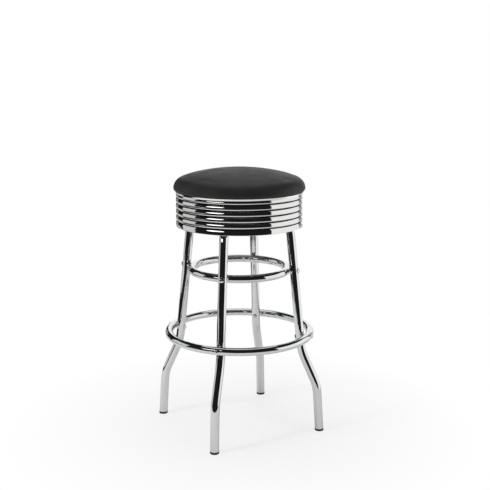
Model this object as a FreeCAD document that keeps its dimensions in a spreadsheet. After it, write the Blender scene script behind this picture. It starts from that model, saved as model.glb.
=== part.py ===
import FreeCAD, Part
import math
import os
import Sketcher

# Diner counter stool: a domed round cushion in a ribbed chrome band, turning on a ball swivel,
# carried by four bent tube legs that are bolted to two tube rings.
# Origin: on the floor, on the swivel's axis. +Z is up, +X and +Y run through the legs. Millimetres.

os.makedirs("parts", exist_ok=True)
doc = FreeCAD.newDocument("DinerCounterStool")
Vector = FreeCAD.Vector

# Driving dimensions
DIMENSIONS = [
    # Legs
    ("leg_diameter", 25.0, "outside of the leg tube"),
    ("leg_wall", 1.5, "wall of the leg tube"),
    ("foot_radius", 242.7, "swivel axis to the leg's centre on the floor"),
    ("low_knee_radius", 233.9, "swivel axis to the corner of the low bend"),
    ("low_knee_height", 133.3, "floor to the corner of the low bend"),
    ("low_knee_bend", 124.0, "centre line radius of the low bend"),
    ("high_knee_height", 238.9, "floor to the corner of the high bend"),
    ("high_knee_bend", 153.0, "centre line radius of the high bend"),
    ("leg_top_height", 638.0, "floor to the centre of the leg's level run"),
    ("leg_top_bend", 75.0, "centre line radius of the top bend"),
    ("leg_end_radius", 42.0, "swivel axis to the inner end of the level run"),
    ("leg_flat", 0.6, "depth of the flats pressed on the level run"),
    # Rings
    ("ring_diameter", 22.6, "outside of the ring tube"),
    ("ring_wall", 1.5, "wall of the ring tube"),
    ("upper_ring_radius", 138.0, "centre line radius of the upper ring"),
    ("upper_ring_height", 468.8, "floor to the upper ring's centre line"),
    ("foot_ring_radius", 205.5, "centre line radius of the foot ring"),
    ("foot_ring_height", 281.6, "floor to the foot ring's centre line"),
    ("ring_gap", 0.2, "clearance between a ring and a leg where they cross"),
    # Foot tips
    ("tip_height", 6.5, "height of the foot tip below the tube"),
    ("tip_lip", 0.3, "how far the foot tip stands out past the tube"),
    ("tip_edge", 1.0, "bevel round the foot tip's sole"),
    ("plug_length", 22.0, "length of the foot tip's plug in the tube"),
    ("plug_clearance", 0.1, "clearance of the plug in the tube"),
    # Through bolts of the rings
    ("head_diameter", 15.0, "domed heads of bolts and sleeve nuts"),
    ("head_height", 4.2, "height of the domed heads"),
    ("head_edge", 1.2, "straight edge below the dome of a head"),
    ("seat_depth", 0.8, "depth of the flat pressed under a head"),
    ("seat_clearance", 0.4, "clearance round a head in its flat"),
    ("socket_width", 5.0, "across the flats of the hexagon socket"),
    ("socket_depth", 2.6, "depth of the hexagon socket"),
    ("sleeve_diameter", 8.6, "outside of the sleeve nut's sleeve"),
    ("thread_diameter", 6.0, "bolt shank"),
    ("thread_clearance", 0.1, "clearance of a shank in its nut"),
    ("hole_clearance", 0.1, "clearance of a sleeve or shank in its hole"),
    ("sleeve_length", 30.0, "length of the sleeve below its head"),
    ("bolt_end_gap", 2.0, "from the bolt's tip to the bottom of the sleeve nut's bore"),
    # Bolts between the legs and the swivel
    ("leg_bolt_radius", 62.0, "swivel axis to a leg's top bolt"),
    ("leg_bolt_head", 13.0, "head of a leg's top bolt"),
    ("leg_bolt_head_height", 3.2, "height of that head"),
    ("washer_diameter", 13.0, "outside of the washer below the leg"),
    ("washer_thickness", 1.2, "thickness of that washer"),
    ("nut_width", 10.0, "across the flats of the nuts"),
    ("nut_height", 5.0, "height of the nuts"),
    ("bolt_stub", 1.5, "bolt thread that shows past a nut"),
    # Swivel
    ("plate_width", 150.0, "side of the square swivel plates"),
    ("plate_corner", 15.0, "corner radius of the swivel plates"),
    ("plate_thickness", 2.5, "sheet of the swivel plates"),
    ("dish_outer_radius", 53.0, "outer edge of the pressed dish"),
    ("dish_inner_radius", 47.5, "inner edge of the dish's slope"),
    ("dish_rise", 3.5, "depth of the pressed dish"),
    ("race_radius", 38.0, "swivel axis to the balls' centres"),
    ("ball_diameter", 8.0, "bearing balls"),
    ("race_relief", 0.3, "groove radius beyond the ball's radius"),
    ("race_clearance", 0.1, "play between a ball and each groove"),
    ("race_depth", 2.0, "depth of the ball groove"),
    ("cage_width", 12.0, "radial width of the ball cage"),
    ("cage_thickness", 1.2, "sheet of the ball cage"),
    ("cage_clearance", 0.2, "clearance of a ball in its window"),
    ("pin_diameter", 12.0, "king pin"),
    ("pin_clearance", 0.1, "clearance of the king pin in the upper plate"),
    ("pin_head_diameter", 22.0, "riveted heads of the king pin"),
    ("pin_head_height", 2.4, "height of the riveted heads"),
    ("pin_head_gap", 0.3, "play below the king pin's top head"),
    ("seat_bolt_radius", 82.0, "swivel axis to a seat bolt"),
    ("seat_bolt_head_height", 4.0, "height of a seat bolt's hexagon head"),
    # Seat board
    ("board_thickness", 18.0, "plywood board"),
    ("insert_flange", 18.0, "flange of the threaded insert"),
    ("insert_flange_thickness", 1.2, "thickness of that flange"),
    ("insert_barrel", 8.4, "outside of the insert's barrel"),
    ("insert_length", 10.0, "length of the barrel"),
    # Band
    ("band_radius", 181.1, "outside of the band on the crests of its ribs"),
    ("band_height", 99.2, "height of the band"),
    ("band_above_board", 12.2, "band top above the board"),
    ("rib_rise", 1.5, "height of a rib's crest above its edges"),
    ("groove_width", 4.2, "width of the grooves between the ribs"),
    ("groove_depth", 1.5, "depth of a groove below the ribs' edges"),
    ("band_web", 1.2, "wall of the band at the bottom of a groove"),
    # Band brackets
    ("bracket_width", 24.0, "width of a band bracket"),
    ("bracket_drop", 22.0, "height of the bracket's leaf on the band"),
    ("bracket_reach", 26.0, "length of the bracket's leaf under the board"),
    ("bracket_sheet", 2.0, "sheet of the brackets"),
    ("bracket_gap", 0.1, "clearance between a bracket and what it lies on"),
    ("wood_screw_length", 13.0, "wood screw below its head"),
    ("wood_screw_diameter", 4.0, "wood screw shank"),
    ("wood_screw_head", 8.5, "wood screw head"),
    ("wood_screw_head_height", 2.4, "height of the wood screw's head"),
    # Cushion
    ("cushion_radius", 187.9, "widest radius of the cushion"),
    ("cushion_rise", 63.7, "top of the band to the top of the cushion"),
    ("cushion_widest", 9.0, "top of the band to the cushion's widest level"),
    ("cushion_shoulder", 32.0, "radius of the shoulder curve"),
    ("rim_inset", 1.1, "cushion edge inside the band's outer radius where it meets the band"),
    ("cover_thickness", 1.2, "upholstery sheet"),
    ("cover_clearance", 0.3, "clearance between the cover and the band"),
    ("foam_clearance", 0.2, "clearance between the foam or board and the cover"),
    ("hem_length", 26.0, "width of the hem turned under the board"),
    ("staple_crown", 10.0, "crown of a staple"),
    ("staple_wire", 1.0, "staple wire"),
    ("staple_leg", 7.0, "staple leg in the board"),
    ("staple_inset", 13.0, "hem's outer edge to the staples"),
]
LEGS = ["front", "right", "rear", "left"]
LEG_ANGLES = {"front": -90.0, "right": 0.0, "rear": 90.0, "left": 180.0}
CROSSINGS = 4
BALL_COUNT = 12
RIB_COUNT = 6
STAPLE_COUNT = 24
SEAT_FIXINGS = 4
DIAGONAL_ANGLE = 45.0

sheet = doc.addObject("Spreadsheet::Sheet", "Sizes")
for row, (alias, number, meaning) in enumerate(DIMENSIONS, start=1):
    sheet.set(f"A{row}", meaning)
    sheet.set(f"B{row}", str(number))
    sheet.setAlias(f"B{row}", alias)
doc.recompute()


# A size carries its number and the formula over the spreadsheet that it is bound with
class Size:
    def __init__(self, value, formula):
        self.value = value
        self.formula = formula

    def __add__(self, other):
        other = as_size(other)
        return Size(self.value + other.value, f"({self.formula} + {other.formula})")

    def __sub__(self, other):
        other = as_size(other)
        return Size(self.value - other.value, f"({self.formula} - {other.formula})")

    def __mul__(self, other):
        other = as_size(other)
        return Size(self.value * other.value, f"({self.formula} * {other.formula})")

    def __truediv__(self, other):
        other = as_size(other)
        return Size(self.value / other.value, f"({self.formula} / {other.formula})")

    def __neg__(self):
        return self * -1.0

    def root(self):
        return Size(self.value ** 0.5, f"sqrt({self.formula})")

    def slope_angle(self):
        return Size(math.degrees(math.atan(self.value)), f"atan({self.formula})")


def as_size(number):
    if isinstance(number, Size):
        return number
    return Size(float(number), f"({float(number)})")


class Sizes:
    pass


size = Sizes()
for alias, number, meaning in DIMENSIONS:
    setattr(size, alias, Size(number, f"Sizes.{alias}"))
ZERO = as_size(0.0)


# Sketches, features and patterns
def origin_feature(body, role):
    for feature in body.Origin.OriginFeatures:
        if feature.Role == role:
            return feature
    raise ValueError(role)


def bind(target, prop, length):
    target.setExpression(prop, as_size(length).formula)


def new_body(label):
    body = doc.addObject("PartDesign::Body", label)
    body.Label = label
    return body


def new_sketch(body, role, right=ZERO, up=ZERO, out=ZERO, tilt=ZERO, hinge=Vector(0, 0, 1)):
    """A sketch on one of the body's own planes, shifted and then tilted round the hinge."""
    sketch = body.newObject("Sketcher::SketchObject", "Sketch")
    sketch.AttachmentSupport = [(origin_feature(body, role), "")]
    sketch.MapMode = "FlatFace"
    shift = Vector(right.value, up.value, out.value)
    sketch.AttachmentOffset = FreeCAD.Placement(shift, FreeCAD.Rotation(hinge, tilt.value))
    for axis, length in (("x", right), ("y", up), ("z", out)):
        if length is not ZERO:
            bind(sketch, f"AttachmentOffset.Base.{axis}", length)
    if tilt is not ZERO:
        bind(sketch, "AttachmentOffset.Rotation.Angle", tilt)
    return sketch


def fix_point(sketch, shape, end, across, up):
    """Ties one point of a sketch to the sketch's origin by two bound distances."""
    for kind, length in (("DistanceX", across), ("DistanceY", up)):
        length = as_size(length)
        rule = Sketcher.Constraint(kind, -1, 1, shape, end, length.value)
        index = sketch.addConstraint(rule)
        bind(sketch, f"Constraints[{index}]", length)


def fix_radius(sketch, shape, radius):
    index = sketch.addConstraint(Sketcher.Constraint("Radius", shape, as_size(radius).value))
    bind(sketch, f"Constraints[{index}]", radius)


def arc_between(start, end, radius, bulge):
    """An arc between two points; bulge 1 swells to the left of the way from start to end."""
    chord = end - start
    half = chord.Length / 2
    left = Vector(-chord.y, chord.x, 0).normalize()
    centre = (start + end) * 0.5 - left * (bulge * math.sqrt(radius * radius - half * half))
    first, last = (end, start) if bulge > 0 else (start, end)
    turn_from = math.atan2(first.y - centre.y, first.x - centre.x)
    turn_to = math.atan2(last.y - centre.y, last.x - centre.x)
    if turn_to < turn_from:
        turn_to += 2 * math.pi
    return Part.ArcOfCircle(Part.Circle(centre, Vector(0, 0, 1), radius), turn_from, turn_to)


def outline(sketch, corners):
    """A closed outline. A corner is (x, y), or (x, y, radius, bulge) where an arc leads to it."""
    points = [Vector(as_size(c[0]).value, as_size(c[1]).value, 0) for c in corners]
    forward = [len(corner) == 2 or corner[3] < 0 for corner in corners]
    first = sketch.GeometryCount
    for index, corner in enumerate(corners):
        start = points[index - 1]
        end = points[index]
        if len(corner) == 2:
            sketch.addGeometry(Part.LineSegment(start, end), False)
        else:
            sketch.addGeometry(arc_between(start, end, as_size(corner[2]).value, corner[3]), False)
    for index, corner in enumerate(corners):
        here = first + index
        before = first + (index - 1) % len(corners)
        start_end = 1 if forward[index] else 2
        before_end = 2 if forward[index - 1] else 1
        sketch.addConstraint(Sketcher.Constraint("Coincident", before, before_end, here, start_end))
        fix_point(sketch, here, 3 - start_end, corner[0], corner[1])
        if len(corner) == 4:
            fix_radius(sketch, here, corner[2])


def circle(sketch, radius, across=ZERO, up=ZERO):
    centre = Vector(as_size(across).value, as_size(up).value, 0)
    shape = sketch.addGeometry(Part.Circle(centre, Vector(0, 0, 1), as_size(radius).value), False)
    if across is ZERO and up is ZERO:
        sketch.addConstraint(Sketcher.Constraint("Coincident", shape, 3, -1, 1))
    else:
        fix_point(sketch, shape, 3, across, up)
    fix_radius(sketch, shape, radius)


def hexagon(sketch, across_flats):
    """A regular hexagon round the sketch's origin with a flat on either side."""
    apothem = across_flats / 2
    reach = across_flats / as_size(3.0).root()
    half = reach / 2
    outline(sketch, [
        (apothem, -half), (apothem, half), (ZERO, reach),
        (-apothem, half), (-apothem, -half), (ZERO, -reach),
    ])


def rectangle(sketch, left, right, low, high):
    outline(sketch, [(right, low), (right, high), (left, high), (left, low)])


def stepped(sketch, steps):
    """Half the section of a turned piece along the sketch's X axis: (from, to, radius) in order."""
    corners = [(steps[0][0], ZERO)]
    for start, end, radius in steps:
        corners.append((start, radius))
        corners.append((end, radius))
    corners.append((steps[-1][1], ZERO))
    outline(sketch, corners)


def revolve(body, sketch, axis, cut=False):
    kind = "PartDesign::Groove" if cut else "PartDesign::Revolution"
    feature = body.newObject(kind, "Turned")
    feature.Profile = sketch
    feature.ReferenceAxis = (sketch, [axis])
    feature.Angle = 360.0
    doc.recompute()
    return feature


def pad(body, sketch, length, reverse=False):
    feature = body.newObject("PartDesign::Pad", "Pad")
    feature.Profile = sketch
    feature.Length = as_size(length).value
    bind(feature, "Length", length)
    feature.Reversed = reverse
    doc.recompute()
    return feature


def pocket(body, sketch, length, reverse=False):
    """A cut that has to take something away."""
    before = body.Shape.Volume
    feature = body.newObject("PartDesign::Pocket", "Pocket")
    feature.Profile = sketch
    feature.Length = as_size(length).value
    bind(feature, "Length", length)
    feature.Reversed = reverse
    doc.recompute()
    if body.Shape.Volume >= before:
        raise ValueError(f"{body.Label}: a pocket cuts nothing")
    return feature


def polar(body, features, count):
    """Copies features round the vertical axis of the stool."""
    pattern = body.newObject("PartDesign::PolarPattern", "Round")
    pattern.Originals = features
    pattern.Axis = (origin_feature(body, "Z_Axis"), [""])
    pattern.Angle = 360.0
    pattern.Occurrences = count
    body.Tip = pattern
    doc.recompute()
    return pattern


def turn(body, degrees):
    body.Placement = FreeCAD.Placement(Vector(0, 0, 0), Vector(0, 0, 1), degrees)


# Where the leg runs: tangent outside the upper ring and inside the foot ring
leg_tube = size.leg_diameter / 2
ring_tube = size.ring_diameter / 2
crossing = leg_tube + ring_tube + size.ring_gap
ring_drop = size.upper_ring_height - size.foot_ring_height
first_lean = (size.foot_ring_radius - size.upper_ring_radius - crossing * 2) / ring_drop
level_crossing = crossing * (first_lean * first_lean + 1.0).root()
leg_at_upper = size.upper_ring_radius + level_crossing
leg_at_foot = size.foot_ring_radius - level_crossing
lean = (leg_at_foot - leg_at_upper) / ring_drop
half_level = leg_tube * (lean * lean + 1.0).root()


def leg_radius_at(height):
    return leg_at_upper + lean * (size.upper_ring_height - height)


# Levels, from the legs' tops upwards
plate_seat = size.leg_top_height + leg_tube - size.leg_flat
nut_seat = size.leg_top_height - leg_tube + size.leg_flat
ball_tube = size.ball_diameter / 2
race_bottom = ball_tube + size.race_clearance
dish_face = race_bottom - size.race_depth
flange_face = dish_face + size.dish_rise
flange_back = flange_face + size.plate_thickness
ball_level = plate_seat + flange_back
board_bottom = ball_level + flange_back
board_top = board_bottom + size.board_thickness
band_top = board_top + size.band_above_board
band_bottom = band_top - size.band_height
cushion_top = band_top + size.cushion_rise
widest_level = band_top + size.cushion_widest

# Band, cushion and board fit inside each other
rib_edge = size.band_radius - size.rib_rise
groove_floor = rib_edge - size.groove_depth
band_inside = groove_floor - size.band_web
neck_radius = band_inside - size.cover_clearance
board_radius = neck_radius - size.cover_thickness - size.foam_clearance


# Legs
def foot_line_radius(height):
    """The leg's last straight run, down to the floor."""
    slope = (size.foot_radius - size.low_knee_radius) / size.low_knee_height
    return size.foot_radius - slope * height


def bent_path(sketch, corners, bends):
    """Straight runs through the corners, joined by tangent arcs with the given radii."""
    points = [Vector(as_size(x).value, as_size(y).value, 0) for x, y in corners]
    start = points[0]
    last = None
    for index, bend in enumerate(bends, start=1):
        corner = points[index]
        back = (points[index - 1] - corner).normalize()
        ahead = (points[index + 1] - corner).normalize()
        reach = bend.value / math.tan(back.getAngle(ahead) / 2)
        bulge = 1 if back.cross(ahead).z > 0 else -1
        arc_start = corner + back * reach
        arc_end = corner + ahead * reach
        line = sketch.addGeometry(Part.LineSegment(start, arc_start), False)
        arc = sketch.addGeometry(arc_between(arc_start, arc_end, bend.value, bulge), False)
        mark = sketch.addGeometry(Part.Point(corner), True)
        first = 2 if bulge > 0 else 1
        sketch.addConstraint(Sketcher.Constraint("Tangent", line, 2, arc, first))
        fix_radius(sketch, arc, bend)
        fix_point(sketch, mark, 1, corners[index][0], corners[index][1])
        sketch.addConstraint(Sketcher.Constraint("PointOnObject", mark, 1, line))
        if last is None:
            fix_point(sketch, line, 1, corners[0][0], corners[0][1])
        else:
            sketch.addConstraint(Sketcher.Constraint("Tangent", last[0], last[1], line, 1))
            sketch.addConstraint(Sketcher.Constraint("PointOnObject", last[2], 1, line))
        last = (arc, 3 - first, mark)
        start = arc_end
    line = sketch.addGeometry(Part.LineSegment(start, points[-1]), False)
    sketch.addConstraint(Sketcher.Constraint("Tangent", last[0], last[1], line, 1))
    sketch.addConstraint(Sketcher.Constraint("PointOnObject", last[2], 1, line))
    fix_point(sketch, line, 2, corners[-1][0], corners[-1][1])


def upright_bore(body, steps, right, out=ZERO):
    """A stepped hole round an upright axis: (low, high, radius) in order."""
    sketch = new_sketch(body, "XZ_Plane", right=right, out=out)
    corners = [(ZERO, steps[0][0])]
    for low, high, radius in steps:
        corners.append((radius, low))
        corners.append((radius, high))
    corners.append((ZERO, steps[-1][1]))
    outline(sketch, corners)
    return revolve(body, sketch, "V_Axis", cut=True)


def crossing_bore(body, ring_radius, ring_height, steps):
    """A stepped hole along a ring bolt, measured outwards from the ring's centre line."""
    sketch = new_sketch(body, "XZ_Plane", right=ring_radius, up=ring_height, tilt=lean_angle)
    stepped(sketch, steps)
    return revolve(body, sketch, "H_Axis", cut=True)


lean_angle = lean.slope_angle()
lean_cosine = as_size(1.0) / (lean * lean + 1.0).root()
lean_sine = lean * lean_cosine
head_radius = size.head_diameter / 2
head_pocket = head_radius + size.seat_clearance
sleeve_hole = size.sleeve_diameter / 2 + size.hole_clearance
thread_radius = size.thread_diameter / 2
thread_hole = thread_radius + size.hole_clearance
PAST = 3.0

# Where the heads seat, measured outwards from each ring's centre line along the bolt
upper_outer_seat = crossing + leg_tube - size.seat_depth
upper_inner_seat = size.seat_depth - ring_tube
foot_outer_seat = ring_tube - size.seat_depth
foot_inner_seat = size.seat_depth - leg_tube - crossing


def leg(place):
    body = new_body(f"leg_{place}")
    path = new_sketch(body, "XZ_Plane")
    bent_path(path, [
        (foot_line_radius(size.tip_height), size.tip_height),
        (size.low_knee_radius, size.low_knee_height),
        (leg_radius_at(size.high_knee_height), size.high_knee_height),
        (leg_radius_at(size.leg_top_height), size.leg_top_height),
        (size.leg_end_radius, size.leg_top_height),
    ], [size.low_knee_bend, size.high_knee_bend, size.leg_top_bend])
    section = new_sketch(body, "XY_Plane", out=size.tip_height)
    circle(section, leg_tube, foot_line_radius(size.tip_height), ZERO)
    circle(section, leg_tube - size.leg_wall, foot_line_radius(size.tip_height), ZERO)
    doc.recompute()
    tube = body.newObject("PartDesign::AdditivePipe", "Tube")
    tube.Profile = section
    tube.Spine = (path, [f"Edge{number}" for number in range(1, 8)])
    doc.recompute()

    # Flat on top of the level run, where the swivel plate lies
    flat = new_sketch(body, "XY_Plane", out=plate_seat)
    rectangle(flat, size.leg_end_radius - PAST, size.plate_width / 2 + PAST, -leg_tube, leg_tube)
    pocket(body, flat, size.leg_flat + PAST, reverse=True)
    upright_bore(body, [
        (nut_seat - PAST, nut_seat, size.washer_diameter / 2 + size.seat_clearance),
        (nut_seat, plate_seat + PAST, thread_hole),
    ], right=size.leg_bolt_radius)
    crossing_bore(body, size.upper_ring_radius, size.upper_ring_height, [
        (crossing - leg_tube - PAST, upper_outer_seat, sleeve_hole),
        (upper_outer_seat, upper_outer_seat + size.seat_depth + PAST, head_pocket),
    ])
    crossing_bore(body, size.foot_ring_radius, size.foot_ring_height, [
        (foot_inner_seat - size.seat_depth - PAST, foot_inner_seat, head_pocket),
        (foot_inner_seat, leg_tube - crossing + PAST, sleeve_hole),
    ])
    turn(body, LEG_ANGLES[place])


def foot_tip(place):
    body = new_body(f"foot_tip_{place}")
    tip_radius = leg_tube + size.tip_lip
    plug_radius = leg_tube - size.leg_wall - size.plug_clearance
    plug_top = size.tip_height + size.plug_length
    for stations in (
        [(ZERO, tip_radius - size.tip_edge), (size.tip_edge, tip_radius), (size.tip_height, tip_radius)],
        [(size.tip_height, plug_radius), (plug_top, plug_radius)],
    ):
        rings = []
        for height, radius in stations:
            ring = new_sketch(body, "XY_Plane", out=height)
            circle(ring, radius, foot_line_radius(height), ZERO)
            rings.append(ring)
        doc.recompute()
        loft = body.newObject("PartDesign::AdditiveLoft", "Loft")
        loft.Profile = rings[0]
        loft.Sections = rings[1:]
        loft.Ruled = True
        doc.recompute()
    turn(body, LEG_ANGLES[place])


# Rings
def ring(label, radius, height, steps):
    body = new_body(label)
    # The tube's joint lies midway between two legs
    section = new_sketch(body, "XZ_Plane", tilt=as_size(DIAGONAL_ANGLE), hinge=Vector(0, 1, 0))
    circle(section, ring_tube, radius, height)
    circle(section, ring_tube - size.ring_wall, radius, height)
    revolve(body, section, "V_Axis")
    hole = crossing_bore(body, radius, height, steps)
    polar(body, [hole], CROSSINGS)


# Ring bolts: a domed socket head outside, a domed sleeve nut inside
def socket(body, ring_radius, ring_height, face, side):
    """A hexagon socket in a domed head, cut along the bolt from the head's top."""
    inward = face - size.socket_depth * side
    sketch = new_sketch(
        body, "YZ_Plane",
        up=ring_height + inward * lean_sine,
        out=ring_radius + inward * lean_cosine,
        tilt=lean_angle, hinge=Vector(-1, 0, 0),
    )
    hexagon(sketch, size.socket_width)
    return pocket(body, sketch, size.socket_depth + PAST, reverse=side > 0)


def dome_radius(radius, rise):
    """Radius of the ball whose cap has this edge radius and rise."""
    return (radius * radius + rise * rise) / (rise * 2)


def domed_piece(label, ring_radius, ring_height, seat, side, stem):
    """A head on its seat with a stem, turned round the bolt's axis and repeated at each leg."""
    body = new_body(label)
    sketch = new_sketch(body, "XZ_Plane", right=ring_radius, up=ring_height, tilt=lean_angle)
    dome = size.head_height - size.head_edge
    top = seat + size.head_height * side
    outline(sketch, stem["before"] + [
        (seat, stem["radius"]),
        (seat, head_radius),
        (seat + size.head_edge * side, head_radius),
        (top, ZERO, dome_radius(head_radius, dome), side),
    ] + stem["after"])
    turned = revolve(body, sketch, "H_Axis")
    recess = socket(body, ring_radius, ring_height, top, side)
    polar(body, [turned, recess], CROSSINGS)


def ring_bolts(label, ring_radius, ring_height, outer_seat, inner_seat):
    tip = inner_seat + size.bolt_end_gap
    domed_piece(label, ring_radius, ring_height, outer_seat, 1, {
        "before": [(tip, ZERO), (tip, thread_radius)],
        "radius": thread_radius,
        "after": [],
    })


def sleeve_nuts(label, ring_radius, ring_height, inner_seat):
    bore = thread_radius + size.thread_clearance
    sleeve = size.sleeve_diameter / 2
    mouth = inner_seat + size.sleeve_length
    domed_piece(label, ring_radius, ring_height, inner_seat, -1, {
        "before": [(mouth, bore), (mouth, sleeve)],
        "radius": sleeve,
        "after": [(inner_seat, ZERO), (inner_seat, bore)],
    })


# Bolts, washers and nuts that hold the swivel's lower plate on the legs
plate_top = plate_seat + size.plate_thickness
washer_bottom = nut_seat - size.washer_thickness
nut_bottom = washer_bottom - size.nut_height


def leg_top_bolts():
    body = new_body("leg_top_bolts")
    sketch = new_sketch(body, "XZ_Plane", right=size.leg_bolt_radius)
    tip = nut_bottom - size.bolt_stub
    head = size.leg_bolt_head / 2
    rim = plate_top + size.head_edge
    outline(sketch, [
        (ZERO, tip),
        (thread_radius, tip),
        (thread_radius, plate_top),
        (head, plate_top),
        (head, rim),
        (ZERO, plate_top + size.leg_bolt_head_height,
         dome_radius(head, size.leg_bolt_head_height - size.head_edge), -1),
    ])
    polar(body, [revolve(body, sketch, "V_Axis")], CROSSINGS)


def leg_top_washers():
    body = new_body("leg_top_washers")
    sketch = new_sketch(body, "XY_Plane", right=size.leg_bolt_radius, out=washer_bottom)
    circle(sketch, size.washer_diameter / 2)
    circle(sketch, thread_hole)
    polar(body, [pad(body, sketch, size.washer_thickness)], CROSSINGS)


def leg_top_nuts():
    body = new_body("leg_top_nuts")
    sketch = new_sketch(body, "XY_Plane", right=size.leg_bolt_radius, out=nut_bottom)
    hexagon(sketch, size.nut_width)
    circle(sketch, thread_radius + size.thread_clearance)
    polar(body, [pad(body, sketch, size.nut_height)], CROSSINGS)


# Swivel: two square pressed plates with a ball race between them
def rounded_square(sketch, width, corner):
    half = width / 2
    inner = half - corner
    outline(sketch, [
        (half, -inner, corner, -1), (half, inner),
        (inner, half, corner, -1), (-inner, half),
        (-half, inner, corner, -1), (-half, -inner),
        (-inner, -half, corner, -1), (inner, -half),
    ])


def race_plate(label, side, hole_radius, bolt_right, bolt_out):
    """The dish of the plate carries the race; side -1 is the lower plate, 1 the upper one."""
    body = new_body(label)
    groove = ball_tube + size.race_relief
    bulge = groove + size.plate_thickness
    groove_half = (groove * groove - (groove - size.race_depth) * (groove - size.race_depth)).root()
    bulge_half = (bulge * bulge - (bulge - size.race_depth) * (bulge - size.race_depth)).root()
    dish_back = dish_face + size.plate_thickness
    sketch = new_sketch(body, "XZ_Plane", up=ball_level)
    outline(sketch, [
        (hole_radius, dish_face * side),
        (size.race_radius - groove_half, dish_face * side),
        (size.race_radius + groove_half, dish_face * side, groove, side),
        (size.dish_inner_radius, dish_face * side),
        (size.dish_outer_radius, flange_face * side),
        (size.dish_outer_radius, flange_back * side),
        (size.dish_inner_radius, dish_back * side),
        (size.race_radius + bulge_half, dish_back * side),
        (size.race_radius - bulge_half, dish_back * side, bulge, -side),
        (hole_radius, dish_back * side),
    ])
    revolve(body, sketch, "V_Axis")
    low = flange_face if side > 0 else -flange_back
    square = new_sketch(body, "XY_Plane", out=ball_level + low)
    rounded_square(square, size.plate_width, size.plate_corner)
    circle(square, size.dish_outer_radius)
    pad(body, square, size.plate_thickness)
    hole = upright_bore(body, [
        (ball_level + low - PAST, ball_level + low + size.plate_thickness + PAST, thread_hole),
    ], right=bolt_right, out=bolt_out)
    polar(body, [hole], CROSSINGS)


def ball_cage():
    body = new_body("ball_cage")
    sketch = new_sketch(body, "XY_Plane", out=ball_level - size.cage_thickness / 2)
    circle(sketch, size.race_radius + size.cage_width / 2)
    circle(sketch, size.race_radius - size.cage_width / 2)
    pad(body, sketch, size.cage_thickness)
    window = upright_bore(body, [
        (ball_level - size.cage_thickness, ball_level + size.cage_thickness,
         ball_tube + size.cage_clearance),
    ], right=size.race_radius)
    polar(body, [window], BALL_COUNT)


def swivel_balls():
    body = new_body("swivel_balls")
    sketch = new_sketch(body, "XZ_Plane", right=size.race_radius, up=ball_level)
    outline(sketch, [
        (ZERO, -ball_tube),
        (ball_tube, ZERO, ball_tube, -1),
        (ZERO, ball_tube, ball_tube, -1),
    ])
    polar(body, [revolve(body, sketch, "V_Axis")], BALL_COUNT)


def king_pin():
    body = new_body("king_pin")
    sketch = new_sketch(body, "XZ_Plane", up=ball_level)
    shank = size.pin_diameter / 2
    head = size.pin_head_diameter / 2
    dish_back = dish_face + size.plate_thickness
    low_head = -dish_back
    high_head = dish_back + size.pin_head_gap
    outline(sketch, [
        (ZERO, low_head - size.pin_head_height),
        (head, low_head - size.pin_head_height),
        (head, low_head),
        (shank, low_head),
        (shank, high_head),
        (head, high_head),
        (head, high_head + size.pin_head_height),
        (ZERO, high_head + size.pin_head_height),
    ])
    revolve(body, sketch, "V_Axis")


# Seat bolts run up through the upper plate into threaded inserts in the board
flange_level = ball_level + flange_face
insert_flange_bottom = board_top - size.insert_flange_thickness


def seat_bolts():
    body = new_body("seat_bolts")
    head_bottom = flange_level - size.seat_bolt_head_height
    head = new_sketch(body, "XY_Plane", right=size.seat_bolt_radius, out=head_bottom)
    hexagon(head, size.nut_width)
    head_pad = pad(body, head, size.seat_bolt_head_height)
    shank = new_sketch(body, "XY_Plane", right=size.seat_bolt_radius, out=flange_level)
    circle(shank, thread_radius)
    reach = board_top - size.bolt_end_gap - flange_level
    polar(body, [head_pad, pad(body, shank, reach)], SEAT_FIXINGS)
    turn(body, DIAGONAL_ANGLE)


def threaded_inserts():
    body = new_body("threaded_inserts")
    bore = thread_radius + size.thread_clearance
    barrel = size.insert_barrel / 2
    sketch = new_sketch(body, "XZ_Plane", right=size.seat_bolt_radius)
    outline(sketch, [
        (bore, insert_flange_bottom - size.insert_length),
        (barrel, insert_flange_bottom - size.insert_length),
        (barrel, insert_flange_bottom),
        (size.insert_flange / 2, insert_flange_bottom),
        (size.insert_flange / 2, board_top),
        (bore, board_top),
    ])
    polar(body, [revolve(body, sketch, "V_Axis")], SEAT_FIXINGS)
    turn(body, DIAGONAL_ANGLE)


# Band: a hoop with rounded ribs on its outside
def seat_band():
    body = new_body("seat_band")
    sketch = new_sketch(body, "XZ_Plane", up=band_bottom)
    pitch = size.band_height / RIB_COUNT
    half_groove = size.groove_width / 2
    groove_curve = dome_radius(half_groove, size.groove_depth)
    corners = [(band_inside, ZERO), (rib_edge, ZERO)]
    for rib in range(RIB_COUNT):
        first = rib == 0
        last = rib == RIB_COUNT - 1
        start = ZERO if first else pitch * rib + half_groove
        end = size.band_height if last else pitch * (rib + 1) - half_groove
        if not first:
            corners.append((rib_edge, start, groove_curve, 1))
        corners.append((rib_edge, end, dome_radius((end - start) / 2, size.rib_rise), -1))
    corners.append((band_inside, size.band_height))
    outline(sketch, corners)
    revolve(body, sketch, "V_Axis")


# Brackets and wood screws that hold the band to the board, below the cover's hem
bracket_top = board_bottom - size.cover_thickness - size.bracket_gap
bracket_outside = band_inside - size.bracket_gap
screw_radius = bracket_outside - (size.bracket_sheet + size.bracket_reach) / 2
screw_seat = bracket_top - size.bracket_sheet
screw_hole = size.wood_screw_diameter / 2 + size.hole_clearance
screw_top = screw_seat + size.wood_screw_length


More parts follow.
